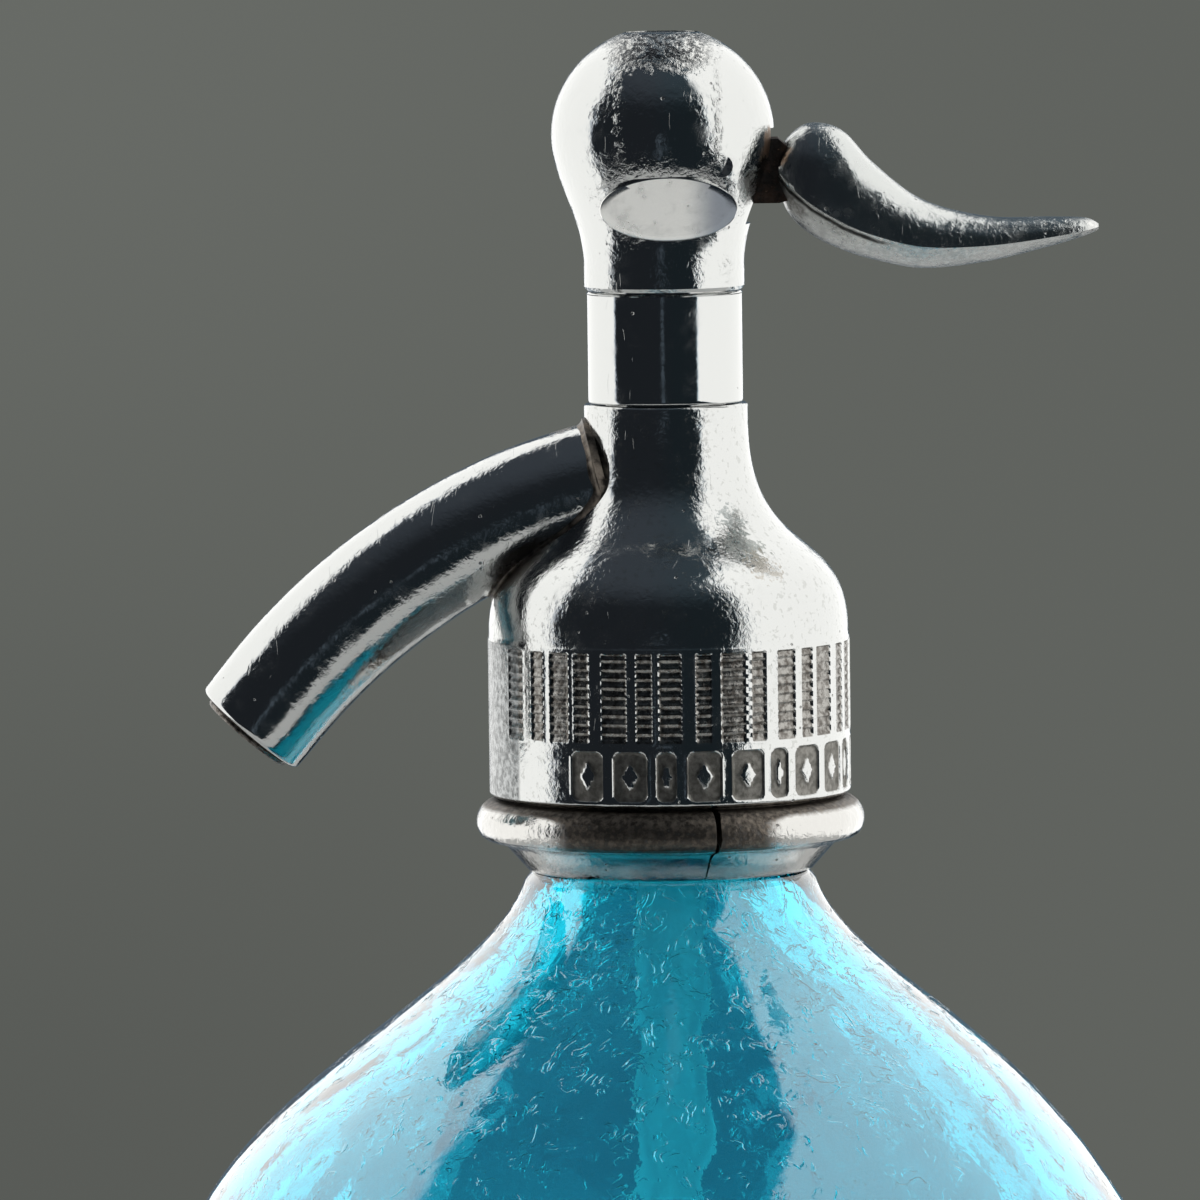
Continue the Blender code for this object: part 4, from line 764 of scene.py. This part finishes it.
# The flat's colour runs from near white to a blue-grey painted shade at its right end.
flat_tone_and_painted_shade = blend(tree, ramp(tree, away, 0.0020, 0.0062), (0.97, 0.96, 0.93, 1), (0.38, 0.41, 0.46, 1))
feed(tree, Base_Color=blend(tree, ground, colour, flat_tone_and_painted_shade),
     Roughness=sums(tree, "ADD", rough, sums(tree, "MULTIPLY", ground, 0.12)),
     Normal=node(tree, "Mix", {0: sums(tree, "MULTIPLY", ground, 0.93), 4: bumpy,
                               5: node(tree, "NewGeometry", {}, "Normal")}, 1, data_type="VECTOR"))
fit(ball, "siphon", ball_metal, "head_metal", "ball_housing")
finish_node("top_plug", pewter("plug_metal", (0.42, 0.42, 0.41), 0.22, 1.5, 1.0))
finish_node("lever_pivot_pin", steel)

# Lever arm: a forged steel tongue, forked round the spindle inside the ball and cast into the
# handle. It has rusted dark where it leaves the ball.
rust, tree, place = new_finish("rusted_steel", {"Metallic": 0.35})
coarse = noise(tree, place, 420, 5.0, 0.65)
fine = noise(tree, place, 2400, 3.0, 0.6)
colour = blend(tree, ramp(tree, coarse, 0.40, 0.66), (0.014, 0.011, 0.010, 1), (0.075, 0.042, 0.028, 1))
colour = blend(tree, ramp(tree, fine, 0.66, 0.78), colour, (0.20, 0.13, 0.09, 1))
relief = sums(tree, "ADD", coarse, sums(tree, "MULTIPLY", fine, 0.3))
feed(tree, Base_Color=colour, Roughness=ramp(tree, fine, 0.3, 0.7, 0.55, 0.9),
     Normal=node(tree, "Bump", {"Height": relief, "Strength": 1.0, "Distance": 0.0004}))
finish_node("lever_arm", rust)

# Lever handle: a tin alloy horn cast round the arm's tongue, polished along its back and worn pale at the
# tip, with its belly painted pale as a painted reflection of the floor. A crisp chine runs down each side
# above a shallow belly, with a dark line of painted shade in the crease under it near the root.
pivot_level = 0.2850
lever_root = 0.0129
lever_length = 0.0358
lever_drop, lever_rise = 0.0121, 0.0164
lever_half_width = 0.0064
# Each row gives the share of the length, then those of the rise at top, chine and belly, then
# that of the half width.
lever_rows = np.array((
    (0.00, 0.76, 0.67, 0.57, 0.66), (0.03, 0.90, 0.59, 0.39, 0.78), (0.10, 1.00, 0.46, 0.24, 0.94),
    (0.20, 0.95, 0.33, 0.13, 1.00), (0.30, 0.72, 0.24, 0.06, 0.98), (0.45, 0.47, 0.16, 0.00, 0.91),
    (0.65, 0.35, 0.16, 0.04, 0.76), (0.85, 0.34, 0.21, 0.14, 0.58), (0.96, 0.33, 0.25, 0.21, 0.38),
    (1.00, 0.29, 0.27, 0.25, 0.12)))


def through_rows(rows, between):
    """Catmull-Rom curve through rows of numbers, with the end rows repeated."""
    padded = np.concatenate((rows[:1], rows, rows[-1:]))
    t = (np.arange(between + 1) / (between + 1))[None, :, None]
    before, low, high, after = (padded[k:len(rows) - 1 + k, None] for k in range(4))
    spans = low + 0.5 * t * (high - before + t * (2 * before - 5 * low + 4 * high - after
                                                  + t * (3 * (low - high) + after - before)))
    return np.concatenate((spans.reshape(-1, rows.shape[1]), rows[-1:]))


def lever_height(share):
    """Height at a share of the handle's rise, from 12.1 mm below its pin to 4.3 mm above it."""
    return pivot_level - lever_drop + share * lever_rise


def horn(rows, round_steps):
    """Sections of the handle: over the top a superellipse of side and rise, under the chine a
    power curve, scaled by each row's top, chine, belly and half width."""
    along, top, chine, belly, width = (column[:, None] for column in rows.T)
    x = lever_root + along * lever_length
    top, chine, belly = (lever_height(share) for share in (top, chine, belly))
    angle = np.pi * np.arange(round_steps) / round_steps
    over_y = np.sign(np.cos(angle)) * np.abs(np.cos(angle)) ** 0.75
    over_z = chine + (top - chine) * np.sin(angle) ** 0.85
    across = -1 + 2 * np.arange(round_steps) / round_steps
    under_z = chine - (chine - belly) * (1 - np.abs(across) ** 1.8)
    side = width * lever_half_width * np.concatenate((over_y, across))
    return np.stack((x + 0 * side, side, np.concatenate((over_z, under_z), 1)), -1)


sections = horn(through_rows(lever_rows, 13), 48)
rows, round_count = sections.shape[:2]
ends = [sections[:1] * 0 + sections[0].mean(0), sections[:1] * 0 + sections[-1].mean(0)]
horn_points = np.concatenate((ends[0], sections, ends[1]))
horn_points[0, :, 0] += 0.0002
horn_faces = grid_faces(rows + 2, round_count, False, True)
handle = solid("lever_horn", horn_points.reshape(-1, 3), horn_faces, 38.0)
spot = places(handle)
along = (spot[:, 0] - lever_root) / lever_length
under = lever_height(np.interp(along, lever_rows[:, 0], lever_rows[:, 2])) - spot[:, 2]
# Painted shade: a dark line just under each chine near the root, where the crease is.
painted_crease_shade = np.exp(-((under - 0.0006) / 0.0003) ** 2) * np.clip((0.42 - along) / 0.15, 0, 1)
mark(handle, "painted_crease_shade", np.where(under > 0.0001, 0.8 * painted_crease_shade, 0))
# The belly's pale colour is a painted reflection of the floor; the pale tip is wear.
mark(handle, "worn_tip_painted_belly", np.clip(under / 0.0004, 0, 1) * 0.42 + np.clip((along - 0.93) / 0.04, 0, 1) * 0.5)
lever_metal = pewter("worn_lever_metal", (0.50, 0.51, 0.50), 0.20, 2.0, 0.5, (
    ((0.0138, -0.004, 0.2800), 0.0030, (0.10, 0.08, 0.065), 0.8, 0.5),))
overlay(lever_metal, "worn_tip_painted_belly", (0.40, 0.40, 0.39), (0.74, 0.74, 0.72), 0.22, relief=0.00006)
overlay(lever_metal, "painted_crease_shade", (0.02, 0.02, 0.02), (0.06, 0.06, 0.055), 0.35)
fit(handle, "lever", lever_metal, "lever_metal", "lever_handle")

# Studio: a pale round floor, two tall soft lights at the sides with a grey backdrop between
# them, dark towards the camera but for one faint upright strip, and a wide soft lamp overhead. The
# side lights' edges are set by how far a ray runs back and up for its way to the side.
floor_radius = 0.43
angle = round_about(96)
floor_points = floor_radius * np.stack((np.cos(angle), np.sin(angle), 0 * angle), 1)
floor_mesh = bpy.data.meshes.new("studio_floor")
floor_mesh.from_pydata(floor_points.tolist(), [], [list(range(len(angle)))])
floor = bpy.data.objects.new("studio_floor", floor_mesh)
bpy.context.scene.collection.objects.link(floor)
floor_finish = new_finish("pale_floor", {"Base Color": (0.80, 0.80, 0.79, 1), "Roughness": 0.9})[0]
floor_mesh.materials.append(floor_finish)

world = bpy.data.worlds.new("studio")
bpy.context.scene.world = world
world.use_nodes = True
tree = world.node_tree
tree.nodes.clear()
split = node(tree, "SeparateXYZ", {"Vector": node(tree, "TexCoord", {}, "Generated")}).node.outputs
sideways = sums(tree, "MAXIMUM", sums(tree, "ABSOLUTE", split["X"], 0.0), 0.001)
back = sums(tree, "DIVIDE", split["Y"], sideways)
up = sums(tree, "DIVIDE", split["Z"], sideways)
path = node(tree, "LightPath", {}, "Is Camera Ray").node.outputs


def above(value, edge, soft):
    """1 where a value is more than an edge, 0 below it, with a soft step between."""
    return ramp(tree, sums(tree, "SUBTRACT", value, edge), -soft, soft)


def scaled(value, factor, offset):
    """A value times a factor plus an offset."""
    return node(tree, "Math", {0: value, 1: factor, 2: offset}, operation="MULTIPLY_ADD")


left_top = sums(tree, "MINIMUM", scaled(back, 1.1, 1.12), scaled(back, 2.6, 1.12))
left = sums(tree, "MULTIPLY", above(back, -0.17, 0.05), above(left_top, up, 0.09))
left = sums(tree, "MULTIPLY", left, sums(tree, "LESS_THAN", split["X"], 0.0))
slant = sums(tree, "MULTIPLY", sums(tree, "MAXIMUM", sums(tree, "SUBTRACT", -0.25, up), 0.0), 3.0)
right_top = scaled(sums(tree, "MAXIMUM", back, 0.0), 0.9, 2.65)
right = sums(tree, "MULTIPLY", above(sums(tree, "SUBTRACT", back, slant), -0.87, 0.06),
             above(right_top, up, 0.15))
right = sums(tree, "MULTIPLY", right, sums(tree, "GREATER_THAN", split["X"], 0.0))
boxes = sums(tree, "MULTIPLY", sums(tree, "ADD", left, right), above(5.0, back, 0.3))
boxes = sums(tree, "MULTIPLY", boxes, above(up, -0.80, 0.06))
behind = sums(tree, "MULTIPLY", above(back, 5.0, 0.3), scaled(path["Is Transmission Ray"], 0.15, 0.11))
ahead = sums(tree, "DIVIDE", split["X"], sums(tree, "MAXIMUM", scaled(split["Y"], -1.0, 0.0), 0.001))
strip_across = sums(tree, "ABSOLUTE", scaled(ahead, 1.0, 0.066), 0.0)
strip_up = sums(tree, "ABSOLUTE", scaled(split["Z"], 1.0, 0.22), 0.0)
strip = sums(tree, "MULTIPLY", above(0.040, strip_across, 0.012), above(0.17, strip_up, 0.012))
gloom = sums(tree, "ADD", scaled(strip, 0.09, 0.022), ramp(tree, split["Z"], 0.45, 0.95, 0.0, 0.05))
light = sums(tree, "ADD", scaled(boxes, 1.5, behind), gloom)
shade = blend(tree, ramp(tree, split["X"], -0.3, 0.3), (0.80, 0.97, 1.20, 1), (0.66, 0.98, 1.22, 1))
shade = blend(tree, boxes, shade, (1, 1, 0.985, 1))
studio_light = node(tree, "Background", {"Color": shade, "Strength": light})
# Painted light and shade: the backdrop that the camera sees is lighter towards the top and darker towards
# the bottom on its left half.
wall = ramp(tree, split["Z"], -0.126, -0.03, -1.0, 1.0)
wall = sums(tree, "MULTIPLY", wall, ramp(tree, split["X"], 0.05, -0.05))
wall = node(tree, "Background", {"Color": (0.118, 0.125, 0.114, 1), "Strength": scaled(wall, 0.16, 1.0)})
surface = node(tree, "MixShader", {0: path["Is Camera Ray"], 1: studio_light, 2: wall})
output = tree.nodes.new("ShaderNodeOutputWorld")
tree.links.new(surface, output.inputs["Surface"])

lamp_data = bpy.data.lights.new("overhead_lamp", "AREA")
lamp_data.shape, lamp_data.size, lamp_data.energy = "DISK", 0.9, 3.0
lamp = bpy.data.objects.new("overhead_lamp", lamp_data)
lamp.location = (0.0, -0.1, 1.9)
lamp.visible_camera = lamp.visible_glossy = lamp.visible_transmission = False
bpy.context.scene.collection.objects.link(lamp)

# Camera: aimed at the middle of the head from 1.4 m in front, looking down by 4.5 degrees, with
# the small roll that the photograph has.
camera_distance, aim_level = 1.4, 0.236
camera_data = bpy.data.cameras.new("camera")
camera_data.sensor_width = 36.0
camera_data.lens = 374.0
camera_data.clip_start, camera_data.clip_end = 0.1, 20.0
camera = bpy.data.objects.new("camera", camera_data)
pitch, roll = np.radians(4.5), np.radians(0.70)
camera.rotation_mode = "XYZ"
camera.location = (-0.0063, -camera_distance * np.cos(pitch), aim_level + camera_distance * np.sin(pitch))
camera.rotation_euler = (np.pi / 2 - pitch, roll, 0.0)
bpy.context.scene.collection.objects.link(camera)
bpy.context.scene.camera = camera
bpy.context.scene.view_settings.view_transform = "Standard"
